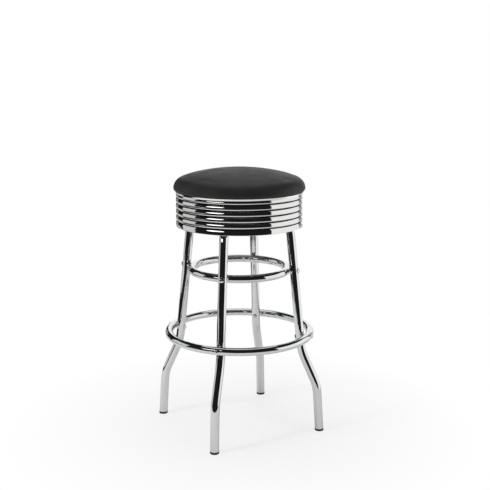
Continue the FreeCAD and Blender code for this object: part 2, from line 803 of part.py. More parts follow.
def band_brackets():
    body = new_body("band_brackets")
    sketch = new_sketch(body, "XZ_Plane")
    low = bracket_top - size.bracket_drop
    inner_leaf = bracket_outside - size.bracket_sheet
    outline(sketch, [
        (bracket_outside, low),
        (bracket_outside, bracket_top),
        (bracket_outside - size.bracket_reach, bracket_top),
        (bracket_outside - size.bracket_reach, screw_seat),
        (inner_leaf, screw_seat),
        (inner_leaf, low),
    ])
    leaf = revolve(body, sketch, "V_Axis")
    spread = size.bracket_width / bracket_outside * math.degrees(1.0)
    leaf.Angle = spread.value
    bind(leaf, "Angle", spread)
    leaf.Midplane = True
    doc.recompute()
    hole = upright_bore(body, [(screw_seat - PAST, bracket_top + PAST, screw_hole)], right=screw_radius)
    polar(body, [leaf, hole], SEAT_FIXINGS)
    turn(body, DIAGONAL_ANGLE)


def band_screws():
    body = new_body("band_screws")
    sketch = new_sketch(body, "XZ_Plane", right=screw_radius)
    shank = size.wood_screw_diameter / 2
    head = size.wood_screw_head / 2
    outline(sketch, [
        (ZERO, screw_seat - size.wood_screw_head_height),
        (head, screw_seat, dome_radius(head, size.wood_screw_head_height), -1),
        (shank, screw_seat),
        (shank, screw_top - size.wood_screw_diameter),
        (ZERO, screw_top),
    ])
    polar(body, [revolve(body, sketch, "V_Axis")], SEAT_FIXINGS)
    turn(body, DIAGONAL_ANGLE)


def seat_board():
    body = new_body("seat_board")
    sketch = new_sketch(body, "XY_Plane", out=board_bottom)
    circle(sketch, board_radius)
    pad(body, sketch, size.board_thickness)
    insert_hole = upright_bore(body, [
        (board_bottom - PAST, insert_flange_bottom, size.insert_barrel / 2 + size.hole_clearance),
        (insert_flange_bottom, board_top + PAST, size.insert_flange / 2 + size.hole_clearance),
    ], right=size.seat_bolt_radius)
    pilot_hole = upright_bore(body, [
        (board_bottom - PAST, screw_top + size.hole_clearance, screw_hole),
    ], right=screw_radius)
    polar(body, [insert_hole, pilot_hole], SEAT_FIXINGS)
    turn(body, DIAGONAL_ANGLE)


# Cushion: the outer curve is a wide crown, a shoulder and an edge that rolls under to the band
shoulder_run = size.cushion_radius - size.cushion_shoulder
dome_rise = cushion_top - widest_level
crown = (
    (shoulder_run * shoulder_run + dome_rise * dome_rise - size.cushion_shoulder * size.cushion_shoulder)
    / (dome_rise * 2 - size.cushion_shoulder * 2)
)
rim_radius = size.band_radius - size.rim_inset
rim_drop = size.cushion_widest - size.cover_clearance
rim_run = size.cushion_radius - rim_radius
edge_curve = (rim_drop * rim_drop + rim_run * rim_run) / (rim_run * 2)


def cushion_curve(inset):
    """Apex, shoulder start, widest point and rim of the cushion, moved inwards by inset."""
    crown_centre = cushion_top - crown
    share = (crown - inset) / (crown - size.cushion_shoulder)
    edge_centre = size.cushion_radius - edge_curve
    edge_share = (edge_curve - inset) / edge_curve
    apex = (ZERO, cushion_top - inset)
    shoulder = (shoulder_run * share, crown_centre + (widest_level - crown_centre) * share)
    widest = (size.cushion_radius - inset, widest_level)
    rim = (edge_centre + (rim_radius - edge_centre) * edge_share, widest_level - rim_drop * edge_share)
    return apex, shoulder, widest, rim


def seat_cover():
    body = new_body("seat_cover")
    sheet_inset = size.cover_thickness
    apex, shoulder, widest, rim = cushion_curve(ZERO)
    inner_apex, inner_shoulder, inner_widest, inner_rim = cushion_curve(sheet_inset)
    inner_neck = neck_radius - sheet_inset
    hem_radius = neck_radius - size.hem_length
    hem_bottom = board_bottom - sheet_inset
    sketch = new_sketch(body, "XZ_Plane")
    outline(sketch, [
        apex,
        (*shoulder, crown, 1),
        (*widest, size.cushion_shoulder, 1),
        (*rim, edge_curve, 1),
        (neck_radius, rim[1]),
        (neck_radius, hem_bottom),
        (hem_radius, hem_bottom),
        (hem_radius, board_bottom),
        (inner_neck, board_bottom),
        (inner_neck, inner_rim[1]),
        inner_rim,
        (*inner_widest, edge_curve - sheet_inset, -1),
        (*inner_shoulder, size.cushion_shoulder - sheet_inset, -1),
        (*inner_apex, crown - sheet_inset, -1),
    ])
    revolve(body, sketch, "V_Axis")
    hole = upright_bore(body, [(hem_bottom - PAST, board_bottom + PAST, screw_hole)], right=screw_radius)
    polar(body, [hole], SEAT_FIXINGS)
    turn(body, DIAGONAL_ANGLE)


def seat_foam():
    body = new_body("seat_foam")
    inset = size.cover_thickness + size.foam_clearance
    apex, shoulder, widest, rim = cushion_curve(inset)
    sketch = new_sketch(body, "XZ_Plane")
    outline(sketch, [
        apex,
        (*shoulder, crown - inset, 1),
        (*widest, size.cushion_shoulder - inset, 1),
        (*rim, edge_curve - inset, 1),
        (board_radius, rim[1]),
        (board_radius, board_top),
        (ZERO, board_top),
    ])
    revolve(body, sketch, "V_Axis")


def cover_staples():
    """Staples through the hem: a crown along the rim and two legs up into the board."""
    body = new_body("cover_staples")
    middle = neck_radius - size.staple_inset
    half_wire = size.staple_wire / 2
    half_crown = size.staple_crown / 2
    hem_bottom = board_bottom - size.cover_thickness
    crown_bottom = hem_bottom - size.staple_wire
    leg_top = board_bottom + size.staple_leg
    inside = half_crown - size.staple_wire
    sketch = new_sketch(body, "YZ_Plane", out=middle - half_wire)
    outline(sketch, [
        (half_crown, crown_bottom), (half_crown, leg_top), (inside, leg_top), (inside, hem_bottom),
        (-inside, hem_bottom), (-inside, leg_top), (-half_crown, leg_top), (-half_crown, crown_bottom),
    ])
    polar(body, [pad(body, sketch, size.staple_wire)], STAPLE_COUNT)
    turn(body, 360.0 / STAPLE_COUNT / 2)


for place in LEGS:
    leg(place)
    foot_tip(place)
ring("upper_ring", size.upper_ring_radius, size.upper_ring_height, [
    (upper_inner_seat - size.seat_depth - PAST, upper_inner_seat, head_pocket),
    (upper_inner_seat, ring_tube + PAST, sleeve_hole),
])
ring("foot_ring", size.foot_ring_radius, size.foot_ring_height, [
    (-ring_tube - PAST, foot_outer_seat, sleeve_hole),
    (foot_outer_seat, ring_tube + PAST, head_pocket),
])
ring_bolts("upper_ring_bolts", size.upper_ring_radius, size.upper_ring_height,
           upper_outer_seat, upper_inner_seat)
sleeve_nuts("upper_ring_sleeve_nuts", size.upper_ring_radius, size.upper_ring_height, upper_inner_seat)
ring_bolts("foot_ring_bolts", size.foot_ring_radius, size.foot_ring_height,
           foot_outer_seat, foot_inner_seat)
sleeve_nuts("foot_ring_sleeve_nuts", size.foot_ring_radius, size.foot_ring_height, foot_inner_seat)
leg_top_bolts()
leg_top_washers()
leg_top_nuts()
race_plate("swivel_lower_plate", -1, size.pin_diameter / 2 + size.hole_clearance,
           size.leg_bolt_radius, ZERO)
seat_bolt_side = size.seat_bolt_radius / as_size(2.0).root()
race_plate("swivel_upper_plate", 1, size.pin_diameter / 2 + size.pin_clearance,
           seat_bolt_side, -seat_bolt_side)
ball_cage()
swivel_balls()
king_pin()
seat_bolts()
threaded_inserts()
seat_board()
seat_band()
band_brackets()
band_screws()
seat_foam()
seat_cover()
cover_staples()
doc.recompute()

# Nothing is written before every object and every piece is sound
for item in doc.Objects:
    for fault in ("Invalid", "Error"):
        if fault in item.State:
            raise ValueError(f"{item.Name} of {item.Label}: {fault}")
pieces = [item for item in doc.Objects if item.TypeId == "PartDesign::Body"]
for piece in pieces:
    if piece.Shape.isNull() or not piece.Shape.isValid():
        raise ValueError(f"{piece.Label}: shape")
for piece in pieces:
    piece.Shape.exportStep(f"parts/{piece.Label}.step")
    print(f"{piece.Label}: {len(piece.Shape.Solids)} solids, {piece.Shape.Volume:.0f} mm3")
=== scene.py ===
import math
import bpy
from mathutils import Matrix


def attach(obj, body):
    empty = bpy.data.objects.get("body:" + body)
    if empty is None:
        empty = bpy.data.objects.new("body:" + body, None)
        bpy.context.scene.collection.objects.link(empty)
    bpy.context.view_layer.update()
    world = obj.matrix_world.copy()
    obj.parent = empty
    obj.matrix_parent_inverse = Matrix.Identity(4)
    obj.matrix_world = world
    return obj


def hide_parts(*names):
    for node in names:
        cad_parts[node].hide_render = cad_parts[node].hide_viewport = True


bl_info = {
    "name": "Diner counter stool",
    "version": (1, 0, 0),
    "blender": (4, 5, 0),
    "location": "3D Viewport > Sidebar > Stool",
    "description": "Dresses the stool's frame with tubes, band, cushion, fastenings and finishes",
    "category": "Object",
}

import bmesh
import bpy
import numpy as np
from mathutils import Matrix, Vector

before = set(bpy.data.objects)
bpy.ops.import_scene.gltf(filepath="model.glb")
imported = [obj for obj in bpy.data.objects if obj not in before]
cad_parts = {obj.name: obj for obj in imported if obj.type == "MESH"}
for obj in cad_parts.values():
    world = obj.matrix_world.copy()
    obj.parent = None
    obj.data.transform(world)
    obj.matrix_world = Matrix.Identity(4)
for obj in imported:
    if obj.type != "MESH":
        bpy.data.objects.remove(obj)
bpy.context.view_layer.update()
UP = Vector((0, 0, 1))
MM = 0.001
LEG_TURNS = {"front": -90.0, "right": 0.0, "rear": 90.0, "left": 180.0}


# Properties
def length(name, description, default):
    return bpy.props.FloatProperty(
        name=name, description=description, default=default, precision=5, unit="LENGTH", subtype="DISTANCE"
    )


def angle(name, description, degrees):
    return bpy.props.FloatProperty(
        name=name, description=description, default=math.radians(degrees), unit="ROTATION", subtype="ANGLE"
    )


def share(name, description, default, most=1.0):
    return bpy.props.FloatProperty(
        name=name, description=description, default=default, min=0.0, max=most, subtype="FACTOR"
    )


def colour(name, description, default):
    return bpy.props.FloatVectorProperty(
        name=name, description=description, default=default, min=0.0, max=1.0, size=3, subtype="COLOR"
    )


def count(name, description, default):
    return bpy.props.IntProperty(name=name, description=description, default=default, min=1)


class LegSizes(bpy.types.PropertyGroup):
    tube: length("Tube", "Outside diameter of a leg's tube", 0.025)
    wall: length("Wall", "Wall of a leg's tube", 0.0015)
    foot_radius: length("Foot radius", "Swivel axis to the leg's centre line on the floor", 0.2427)
    tip_height: length("Tip height", "Floor to the lower end of the tube", 0.0065)
    low_radius: length("Low bend radius", "Swivel axis to the corner of the low bend", 0.2339)
    low_height: length("Low bend height", "Floor to the corner of the low bend", 0.1333)
    low_bend: length("Low bend", "Centre line radius of the low bend", 0.124)
    high_height: length("High bend height", "Floor to the corner of the high bend", 0.2389)
    high_bend: length("High bend", "Centre line radius of the high bend", 0.153)
    top_height: length("Top height", "Floor to the centre line of the level run", 0.638)
    top_bend: length("Top bend", "Centre line radius of the top bend", 0.075)
    end_radius: length("End radius", "Swivel axis to the end of the level run", 0.042)
    flat_depth: length("Flat", "Depth of the flats pressed on the level run", 0.0006)
    bolt_radius: length("Bolt radius", "Swivel axis to the bolt through the level run", 0.062)
    washer: length("Washer", "Diameter of the washer seat below the level run", 0.0138)
    facets: count("Facets", "Sides round the tube", 48)
    stride: length("Stride", "Length of one row of faces along the tube", 0.004)


class RingSizes(bpy.types.PropertyGroup):
    tube: length("Tube", "Outside diameter of a ring's tube", 0.0226)
    upper_radius: length("Upper radius", "Centre line radius of the upper ring", 0.138)
    upper_height: length("Upper height", "Floor to the upper ring's centre line", 0.4688)
    foot_radius: length("Foot radius", "Centre line radius of the foot ring", 0.2055)
    foot_height: length("Foot height", "Floor to the foot ring's centre line", 0.2816)
    gap: length("Gap", "Clearance between a ring and a leg", 0.0002)
    rows: count("Rows", "Rows of faces along a ring", 384)
    facets: count("Facets", "Sides round a ring's tube", 40)


class BoltSizes(bpy.types.PropertyGroup):
    head: length("Head", "Diameter of a domed head", 0.015)
    rise: length("Rise", "Height of a domed head", 0.0042)
    edge: length("Edge", "Straight edge below the dome", 0.0012)
    seat: length("Seat", "Depth of the flat pressed under a head", 0.0008)
    seat_play: length("Seat play", "Clearance round a head in its flat", 0.0004)
    socket: length("Socket", "Across the flats of the hexagon socket", 0.005)
    socket_depth: length("Socket depth", "Depth of the hexagon socket", 0.0026)
    sleeve: length("Sleeve", "Outside diameter of a sleeve nut", 0.0086)
    sleeve_length: length("Sleeve length", "Length of a sleeve below its head", 0.030)
    shank: length("Shank", "Diameter of a bolt's shank", 0.006)
    end_gap: length("End gap", "Sleeve nut's head to the end of the bolt", 0.002)


class BandSizes(bpy.types.PropertyGroup):
    radius: length("Radius", "Outside of the band on the crests of its ribs", 0.1811)
    top: length("Top", "Floor to the top of the band", 0.6963)
    height: length("Height", "Height of the band", 0.0992)
    ribs: count("Ribs", "Number of ribs", 6)
    rib_rise: length("Rib rise", "Height of a rib's crest above its edges", 0.00135)
    groove: length("Groove", "Width of a groove", 0.0032)
    groove_depth: length("Groove depth", "Depth of a groove", 0.0018)
    web: length("Web", "Wall of the band at the bottom of a groove", 0.0012)
    lip: length("Lip", "Height of the flared lip along the top edge", 0.0054)
    lip_reach: length("Lip reach", "Outside radius of the flared lip", 0.1828)
    lip_flare: length("Lip flare", "How far the lip leans out from its foot", 0.0016)
    lip_edge: length("Lip edge", "Rounding of the lip's upper edge", 0.0004)
    rows: count("Rows", "Rows of faces round the band", 288)


class CushionSizes(bpy.types.PropertyGroup):
    radius: length("Radius", "Widest radius of the cushion", 0.1879)
    widest: length("Widest level", "Floor to the cushion's widest level", 0.7053)
    top: length("Top", "Floor to the top of the cushion", 0.76)
    shoulder: length("Shoulder", "Radius of the shoulder curve", 0.032)
    rim: length("Rim", "Radius where the cushion meets the band", 0.18)
    rim_height: length("Rim height", "Floor to the cushion's rim on the band", 0.6966)
    neck: length("Neck", "Radius of the cover inside the band", 0.1766)
    rest: length("Rest", "Floor to the board on which the foam lies", 0.6841)
    board_bottom: length("Board bottom", "Floor to the underside of the board", 0.6661)
    sheet: length("Sheet", "Thickness of the upholstery", 0.0012)
    hem: length("Hem", "Width of the hem turned under the board", 0.026)
    slack: length("Slack", "How much smaller the cushion is before it is filled", 0.003)
    grid: length("Grid", "Size of the squares that the cushion is filled on", 0.0045)
    pressure: share("Pressure", "Pressure that fills the cushion", 4.0, 20.0)
    fill: share("Fill", "How full the cushion is", 0.9)


class Finishes(bpy.types.PropertyGroup):
    chrome: colour("Chrome", "Chrome plate on the tubes", (0.84, 0.846, 0.856))
    band: colour("Band chrome", "Chrome plate on the ribbed band", (0.84, 0.835, 0.83))
    bolts: colour("Bolt chrome", "Chrome plate on the ring bolts", (0.88, 0.88, 0.87))
    zinc: colour("Zinc", "Dull zinc plate", (0.56, 0.57, 0.58))
    steel: colour("Swivel steel", "Zinc-plated pressed steel", (0.46, 0.465, 0.47))
    balls: colour("Ball steel", "Polished bearing steel", (0.7, 0.7, 0.71))
    nylon: colour("Nylon", "Natural nylon of the ball cage", (0.75, 0.71, 0.6))
    plywood: colour("Plywood", "Face veneer of the seat board", (0.3, 0.225, 0.15))
    vinyl: colour("Vinyl", "Black upholstery", (0.021, 0.021, 0.0205))
    plastic: colour("Tips", "Black moulded plastic of the foot tips", (0.022, 0.022, 0.023))


class StageSettings(bpy.types.PropertyGroup):
    distance: length("Distance", "Swivel axis to the camera, along the floor", 2.60747)
    height: length("Camera height", "Floor to the camera", 1.05565)
    turn: angle("Turn", "How far the camera stands round from the front leg", 16.4135)
    pitch: angle("Pitch", "How far the camera looks down", 11.2473)
    yaw: angle("Yaw", "How far the camera looks to the right of the axis", 0.3549)
    roll: angle("Roll", "How far the camera leans", -0.0467)
    lens: bpy.props.FloatProperty(name="Lens", description="Focal length", default=67.78, unit="CAMERA")
    floor_front: length("Floor's front", "How far the pale floor reaches in front of the stool", 1.3)
    floor_back: length("Floor's back", "How far the pale floor reaches behind the stool", 3.4)
    floor_side: length("Floor's side", "How far the pale floor reaches to either side", 3.0)
    floor_colour: colour("Floor", "Colour of the floor", (0.86, 0.86, 0.86))
    sky: share("Sky", "Even light from all round", 0.45, 4.0)
    ceiling: share("Ceiling", "Power of the overhead lamp in watts", 8.0, 500.0)
    key: share("Key lamp", "Power of the lamp that casts the faint shadows, in watts", 36.0, 500.0)
    soft_box: share("Soft box", "Power of the soft box in watts", 0.58, 500.0)
    floor_lit: length("Lit floor", "Distance up to which metal sees the floor lit", 1.1)
    floor_edge: length("Floor's edge", "Distance over which the lit floor ends", 0.15)


GROUPS = {
    "legs": LegSizes,
    "rings": RingSizes,
    "bolts": BoltSizes,
    "band": BandSizes,
    "cushion": CushionSizes,
    "finishes": Finishes,
    "stage": StageSettings,
}


class StoolSettings(bpy.types.PropertyGroup):
    __annotations__ = {key: bpy.props.PointerProperty(type=group) for key, group in GROUPS.items()}


# Modelling helpers
def deselect_all():
    if bpy.context.object is not None and bpy.context.object.mode != "OBJECT":
        bpy.ops.object.mode_set(mode="OBJECT")
    bpy.ops.object.select_all(action="DESELECT")


def take(piece):
    """Makes one object the only selected and active one."""
    deselect_all()
    piece.select_set(True)
    bpy.context.view_layer.objects.active = piece
    return piece


def named(name):
    """The primitive that was just added, with its place moved into its mesh."""
    piece = bpy.context.object
    piece.name = name
    piece.data.name = name
    bpy.ops.object.transform_apply(location=True, rotation=True, scale=True)
    return piece


def edit():
    bpy.ops.object.mode_set(mode="EDIT")


def leave():
    bpy.ops.object.mode_set(mode="OBJECT")


def choose(test):
    """Selects the faces of the edited mesh that pass a test of their middle and normal."""
    bpy.ops.mesh.select_mode(type="FACE")
    bpy.ops.mesh.select_all(action="DESELECT")
    net = bmesh.from_edit_mesh(bpy.context.object.data)
    for face in net.faces:
        face.select_set(bool(test(face.calc_center_median(), face.normal)))
    net.select_flush_mode()
    bmesh.update_edit_mesh(bpy.context.object.data)


def extrude(shift):
    bpy.ops.mesh.extrude_region_move(TRANSFORM_OT_translate={"value": shift})


def flatten(test, point, normal):
    """Presses the corners that pass the test flat onto a plane."""
    net = bmesh.from_edit_mesh(bpy.context.object.data)
    for corner in net.verts:
        over = (corner.co - point).dot(normal)
        if over > 0 and test(corner.co):
            corner.co -= normal * over
    bmesh.update_edit_mesh(bpy.context.object.data)


def press_pocket(bolts, middle, outward, depth):
    """Presses the flat for a bolt's head, at a depth outward from the middle of its tube."""
    pocket = bolts.head / 2 + bolts.seat_play

    def under_head(place):
        offset = place - middle
        return (offset - outward * offset.dot(outward)).length < pocket

    flatten(under_head, middle + outward * depth, outward)


def close_up():
    bpy.ops.mesh.select_all(action="SELECT")
    bpy.ops.mesh.remove_doubles(threshold=1e-6)
    bpy.ops.mesh.normals_make_consistent(inside=False)


def apply_modifier(piece, kind, **settings):
    take(piece)
    modifier = piece.modifiers.new(kind.title(), kind)
    for key, value in settings.items():
        setattr(modifier, key, value)
    bpy.ops.object.modifier_apply(modifier=modifier.name)


def smooth(piece, degrees=35.0):
    take(piece)
    bpy.ops.object.shade_smooth_by_angle(angle=math.radians(degrees))


def turned_copy(piece, name, degrees):
    """A copy with its own mesh, turned round the swivel's axis."""
    take(piece)
    bpy.ops.object.duplicate(linked=False)
    copy = bpy.context.object
    copy.rotation_euler.z = math.radians(degrees)
    copy.name = name
    copy.data.name = name
    bpy.ops.object.transform_apply(rotation=True)
    return copy


def join(pieces, name):
    take(pieces[0])
    for piece in pieces[1:]:
        piece.select_set(True)
    bpy.ops.object.join()
    piece = bpy.context.object
    piece.name = name
    piece.data.name = name
    return piece


def hand_over(piece, body, slot, *replaced):
    """Gives a finished piece its finish and its body, and hides the nodes that it stands for."""
    piece.data.materials.clear()
    piece.data.materials.append(finish_of(slot))
    if replaced:
        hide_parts(*replaced)
    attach(piece, body)


def turned_profile(name, points, rows, closed=True):
    """A profile in the plane of X and Z, drawn corner by corner and spun round the swivel's axis."""
    deselect_all()
    first = Vector((points[0][0], 0, points[0][1]))
    bpy.ops.mesh.primitive_plane_add(size=MM, location=first)
    piece = named(name)
    edit()
    bpy.ops.mesh.select_mode(type="VERT")
    bpy.ops.mesh.select_all(action="SELECT")
    bpy.ops.mesh.merge(type="CENTER")
    here = first
    for across, up in points[1:]:
        there = Vector((across, 0, up))
        bpy.ops.mesh.extrude_vertices_move(TRANSFORM_OT_translate={"value": there - here})
        here = there
    if closed:
        bpy.ops.mesh.select_all(action="SELECT")
        ends = [corner for corner in bmesh.from_edit_mesh(piece.data).verts if len(corner.link_edges) == 1]
        bpy.ops.mesh.select_all(action="DESELECT")
        for corner in ends:
            corner.select_set(True)
        bpy.ops.mesh.edge_face_add()
    bpy.ops.mesh.select_all(action="SELECT")
    bpy.ops.mesh.spin(steps=rows, angle=math.tau, center=(0, 0, 0), axis=UP)
    close_up()
    leave()
    return piece


def arc_points(start, end, rise, steps):
    """Points after start along a shallow arc that swells to the right of the way by rise."""
    start, end = Vector(start), Vector(end)
    chord = end - start
    half = chord.length / 2
    radius = (half * half + rise * rise) / (2 * abs(rise))
    side = Vector((chord.y, -chord.x)).normalized() * math.copysign(1.0, rise)
    centre = (start + end) / 2 - side * (radius - abs(rise))
    opening = math.asin(half / radius)
    points = []
    for step in range(1, steps + 1):
        swing = opening * (2 * step / steps - 1)
        along = chord.normalized() * (radius * math.sin(swing))
        points.append(tuple(centre + side * (radius * math.cos(swing)) + along))
    return points


# Materials
class Nodes:
    """A tree of nodes in the making."""

    def __init__(self, tree):
        self.tree = tree

    def put(self, value, entry):
        """Links a socket to an input, or sets the input's own value."""
        if isinstance(value, bpy.types.NodeSocket):
            self.tree.links.new(value, entry)
        else:
            entry.default_value = value

    def add(self, kind, inputs=None, **settings):
        """Outputs of a new node, with its settings made and its inputs filled."""
        node = self.tree.nodes.new(kind)
        for key, value in settings.items():
            setattr(node, key, value)
        for key, value in (inputs or {}).items():
            self.put(value, node.inputs[key])
        return node.outputs

    def calculate(self, operation, *values):
        return self.add("ShaderNodeMath", dict(enumerate(values)), operation=operation)[0]

    def vector(self, operation, *values):
        return self.add("ShaderNodeVectorMath", dict(enumerate(values)), operation=operation)

    def spread(self, value, low, high, start=0.0, end=1.0, **settings):
        """Maps a range of a mask onto a range of values."""
        return self.add("ShaderNodeMapRange", {
            "Value": value, "From Min": start, "From Max": end, "To Min": low, "To Max": high,
        }, **settings)["Result"]

    def blend(self, factor, first, second):
        """Mixes two colours by a mask."""
        inputs = {0: factor}
        for key, tone in ((6, first), (7, second)):
            inputs[key] = tone if isinstance(tone, bpy.types.NodeSocket) else (*tone[:3], 1.0)
        return self.add("ShaderNodeMix", inputs, data_type="RGBA")[2]

    def mix(self, factor, first, second):
        """Mixes two shaders by a mask."""
        return self.add("ShaderNodeMixShader", {0: factor, 1: first, 2: second})[0]

    def noise(self, place, scale, detail, rough=0.5, warp=0.0):
        return self.add("ShaderNodeTexNoise", {
            "Vector": place, "Scale": scale, "Detail": detail, "Roughness": rough, "Distortion": warp,
        })["Fac"]


def new_group(name, sizes, results):
    """A shared group: its nodes, what it is given and what it makes."""
    tree = bpy.data.node_groups.new(name, "ShaderNodeTree")
    tree.interface.new_socket("Vector", in_out="INPUT", socket_type="NodeSocketVector")
    for label, size in sizes.items():
        entry = tree.interface.new_socket(label, in_out="INPUT", socket_type="NodeSocketFloat")
        entry.default_value = size
    for label in results:
        tree.interface.new_socket(label, in_out="OUTPUT", socket_type="NodeSocketFloat")
    group = Nodes(tree)
    return group, group.add("NodeGroupInput"), tree.nodes.new("NodeGroupOutput").inputs


def polish_group():
    """Haze, fine scratches and the faint waves of a polished surface."""
    group, given, made = new_group(
        "polish_marks", {"Haze size": 40.0, "Scratch size": 900.0}, ("Haze", "Scratches", "Waves")
    )
    place = given["Vector"]
    drawn_out = group.vector("MULTIPLY", place, (1.0, 1.0, 0.08))[0]
    fine = group.noise(drawn_out, given["Scratch size"], 2.0, 0.7)
    group.put(group.noise(place, given["Haze size"], 3.0, 0.55), made["Haze"])
    group.put(group.spread(fine, 0.0, 1.0, 0.62, 0.75), made["Scratches"])
    group.put(group.noise(place, 55.0, 1.0, 0.4), made["Waves"])
    return group.tree


def speckle_group():
    """Grains of crystal or pigment: a mask of cells and a fine height."""
    group, given, made = new_group("speckle", {"Size": 300.0}, ("Mask", "Height"))
    place = given["Vector"]
    cells = group.add("ShaderNodeTexVoronoi", {"Vector": place, "Scale": given["Size"]})["Color"]
    group.put(group.add("ShaderNodeSeparateColor", {"Color": cells})[0], made["Mask"])
    group.put(group.noise(place, given["Size"], 3.0), made["Height"])
    return group.tree


def grain_group():
    """Leather-like grain: small rounded cells with creases between them."""
    group, given, made = new_group("vinyl_grain", {"Size": 700.0}, ("Height", "Tone"))
    place = given["Vector"]
    drift = group.add("ShaderNodeTexNoise", {"Vector": place, "Scale": 180.0, "Detail": 2.0})["Color"]
    moved = group.vector("MULTIPLY_ADD", drift, (0.004, 0.004, 0.004), place)[0]
    cells = group.add("ShaderNodeTexVoronoi", {
        "Vector": moved, "Scale": given["Size"], "Smoothness": 0.5,
    }, feature="SMOOTH_F1")
    group.put(cells["Distance"], made["Height"])
    group.put(group.noise(place, 22.0, 4.0, 0.6), made["Tone"])
    return group.tree


class Finish(Nodes):
    """A material in the making, with its shader and the object's own coordinates."""

    def __init__(self, name, **values):
        self.material = bpy.data.materials.new(name)
        self.material.use_nodes = True
        super().__init__(self.material.node_tree)
        self.shader = self.tree.nodes["Principled BSDF"]
        self.place = self.add("ShaderNodeTexCoord")["Object"]
        for key, value in values.items():
            label = key.replace("_", " ").title().replace("Ior", "IOR")
            self.shader.inputs[label].default_value = value

    def group(self, name, maker, **sizes):
        """Outputs of a shared group, fed with the object's own coordinates."""
        inputs = {key.replace("_", " ").capitalize(): size for key, size in sizes.items()}
        inputs["Vector"] = self.place
        return self.add("ShaderNodeGroup", inputs, node_tree=bpy.data.node_groups.get(name) or maker())

    def feed(self, name, value):
        self.put(value, self.shader.inputs[name])

    def bump(self, *heights):
        """Chains bumps; each is (height, strength, distance in metres)."""
        last = {}
        for height, strength, distance in heights:
            inputs = {"Height": height, "Strength": strength, "Distance": distance, **last}
            last = {"Normal": self.add("ShaderNodeBump", inputs)["Normal"]}
        self.feed("Normal", last["Normal"])


def toned(tint, factor):
    return tuple(min(1.0, part * factor) for part in tint)


def chrome(name, tint, low=0.02, high=0.07, wave=0.05, band=None):
    """Mirror chrome plate with a breath of haze, hairline scratches and faint waves."""
    finish = Finish(name, metallic=1.0)
    marks = finish.group("polish_marks", polish_group)
    hazy = finish.spread(marks["Haze"], low, high, 0.3, 0.75)
    scratched = finish.spread(marks["Scratches"], 0.0, 0.05)
    finish.feed("Roughness", finish.calculate("ADD", hazy, scratched))
    polished = finish.blend(marks["Haze"], toned(tint, 1.03), toned(tint, 0.96))
    # On the band: painted shade in the groove bottoms and a painted highlight on the lip
    if band is not None:
        polished = band_painted_shade_and_highlight(finish, polished, tint, band)
    finish.feed("Base Color", polished)
    finish.bump((marks["Waves"], wave, 0.002), (marks["Scratches"], 0.03, 0.00005))
    return finish.material


def band_painted_shade_and_highlight(finish, polished, tint, band):
    """Paints shade into the bottoms of the band's grooves and paints a highlight on its lip, in the base
    colour.
    """
    # Painted shade for the groove bottoms and a painted highlight for the lip
    painted_groove_shade = toned(tint, 0.05)
    painted_lip_highlight = toned(tint, 1.2)
    level = finish.vector("MULTIPLY", finish.place, (1.0, 1.0, 0.0))[0]
    radius = finish.vector("LENGTH", level)["Value"]
    edge = band.radius - band.rib_rise
    floor = edge - band.groove_depth
    under_edge = finish.spread(radius, 0.0, 1.0, edge, edge - 0.3 * MM)
    outside = finish.spread(radius, 0.0, 1.0, floor - 0.6 * MM, floor - 0.4 * MM)
    # Painted shade: the groove bottoms darkened to a twentieth of the tint
    with_painted_groove_shade = finish.blend(finish.calculate("MULTIPLY", under_edge, outside), polished, painted_groove_shade)
    # Painted highlight: the lip past the ribs' crests brightened to 1.2 times the tint
    past_ribs = finish.spread(radius, 0.0, 1.0, band.radius, band.radius + 0.2 * MM)
    return finish.blend(past_ribs, with_painted_groove_shade, painted_lip_highlight)


def plated(name, tint, rough, grain):
    """Dull zinc plate: crystals of slightly different grey, a worn sheen and a fine tooth."""
    finish = Finish(name, metallic=1.0)
    spots = finish.group("speckle", speckle_group, size=grain)
    marks = finish.group("polish_marks", polish_group, haze_size=60.0)
    finish.feed("Base Color", finish.blend(spots["Mask"], toned(tint, 0.82), toned(tint, 1.12)))
    finish.feed("Roughness", finish.spread(marks["Haze"], rough - 0.08, rough + 0.12, 0.3, 0.7))
    finish.bump((spots["Height"], 0.25, 0.0001), (marks["Scratches"], 0.1, 0.00005))
    return finish.material


def vinyl(name, tint):
    """Satin upholstery vinyl with a small grain and slightly rubbed high spots."""
    finish = Finish(name, specular_ior_level=0.32)
    grain = finish.group("vinyl_grain", grain_group)
    finish.feed("Base Color", finish.blend(grain["Tone"], toned(tint, 0.8), toned(tint, 1.25)))
    finish.feed("Roughness", finish.spread(grain["Tone"], 0.44, 0.56, 0.3, 0.7))
    finish.bump((grain["Tone"], 0.05, 0.002), (grain["Height"], 0.12, 0.0003))
    return finish.material


def moulded(name, tint, rough):
    """Moulded plastic with a spark-eroded texture and a dusty bloom."""
    finish = Finish(name)
    spots = finish.group("speckle", speckle_group, size=1400.0)
    marks = finish.group("polish_marks", polish_group, haze_size=90.0)
    finish.feed("Base Color", finish.blend(marks["Haze"], toned(tint, 0.85), toned(tint, 1.4)))
    finish.feed("Roughness", finish.spread(marks["Haze"], rough - 0.08, rough + 0.1, 0.3, 0.7))
    finish.bump((spots["Height"], 0.2, 0.0001))
    return finish.material


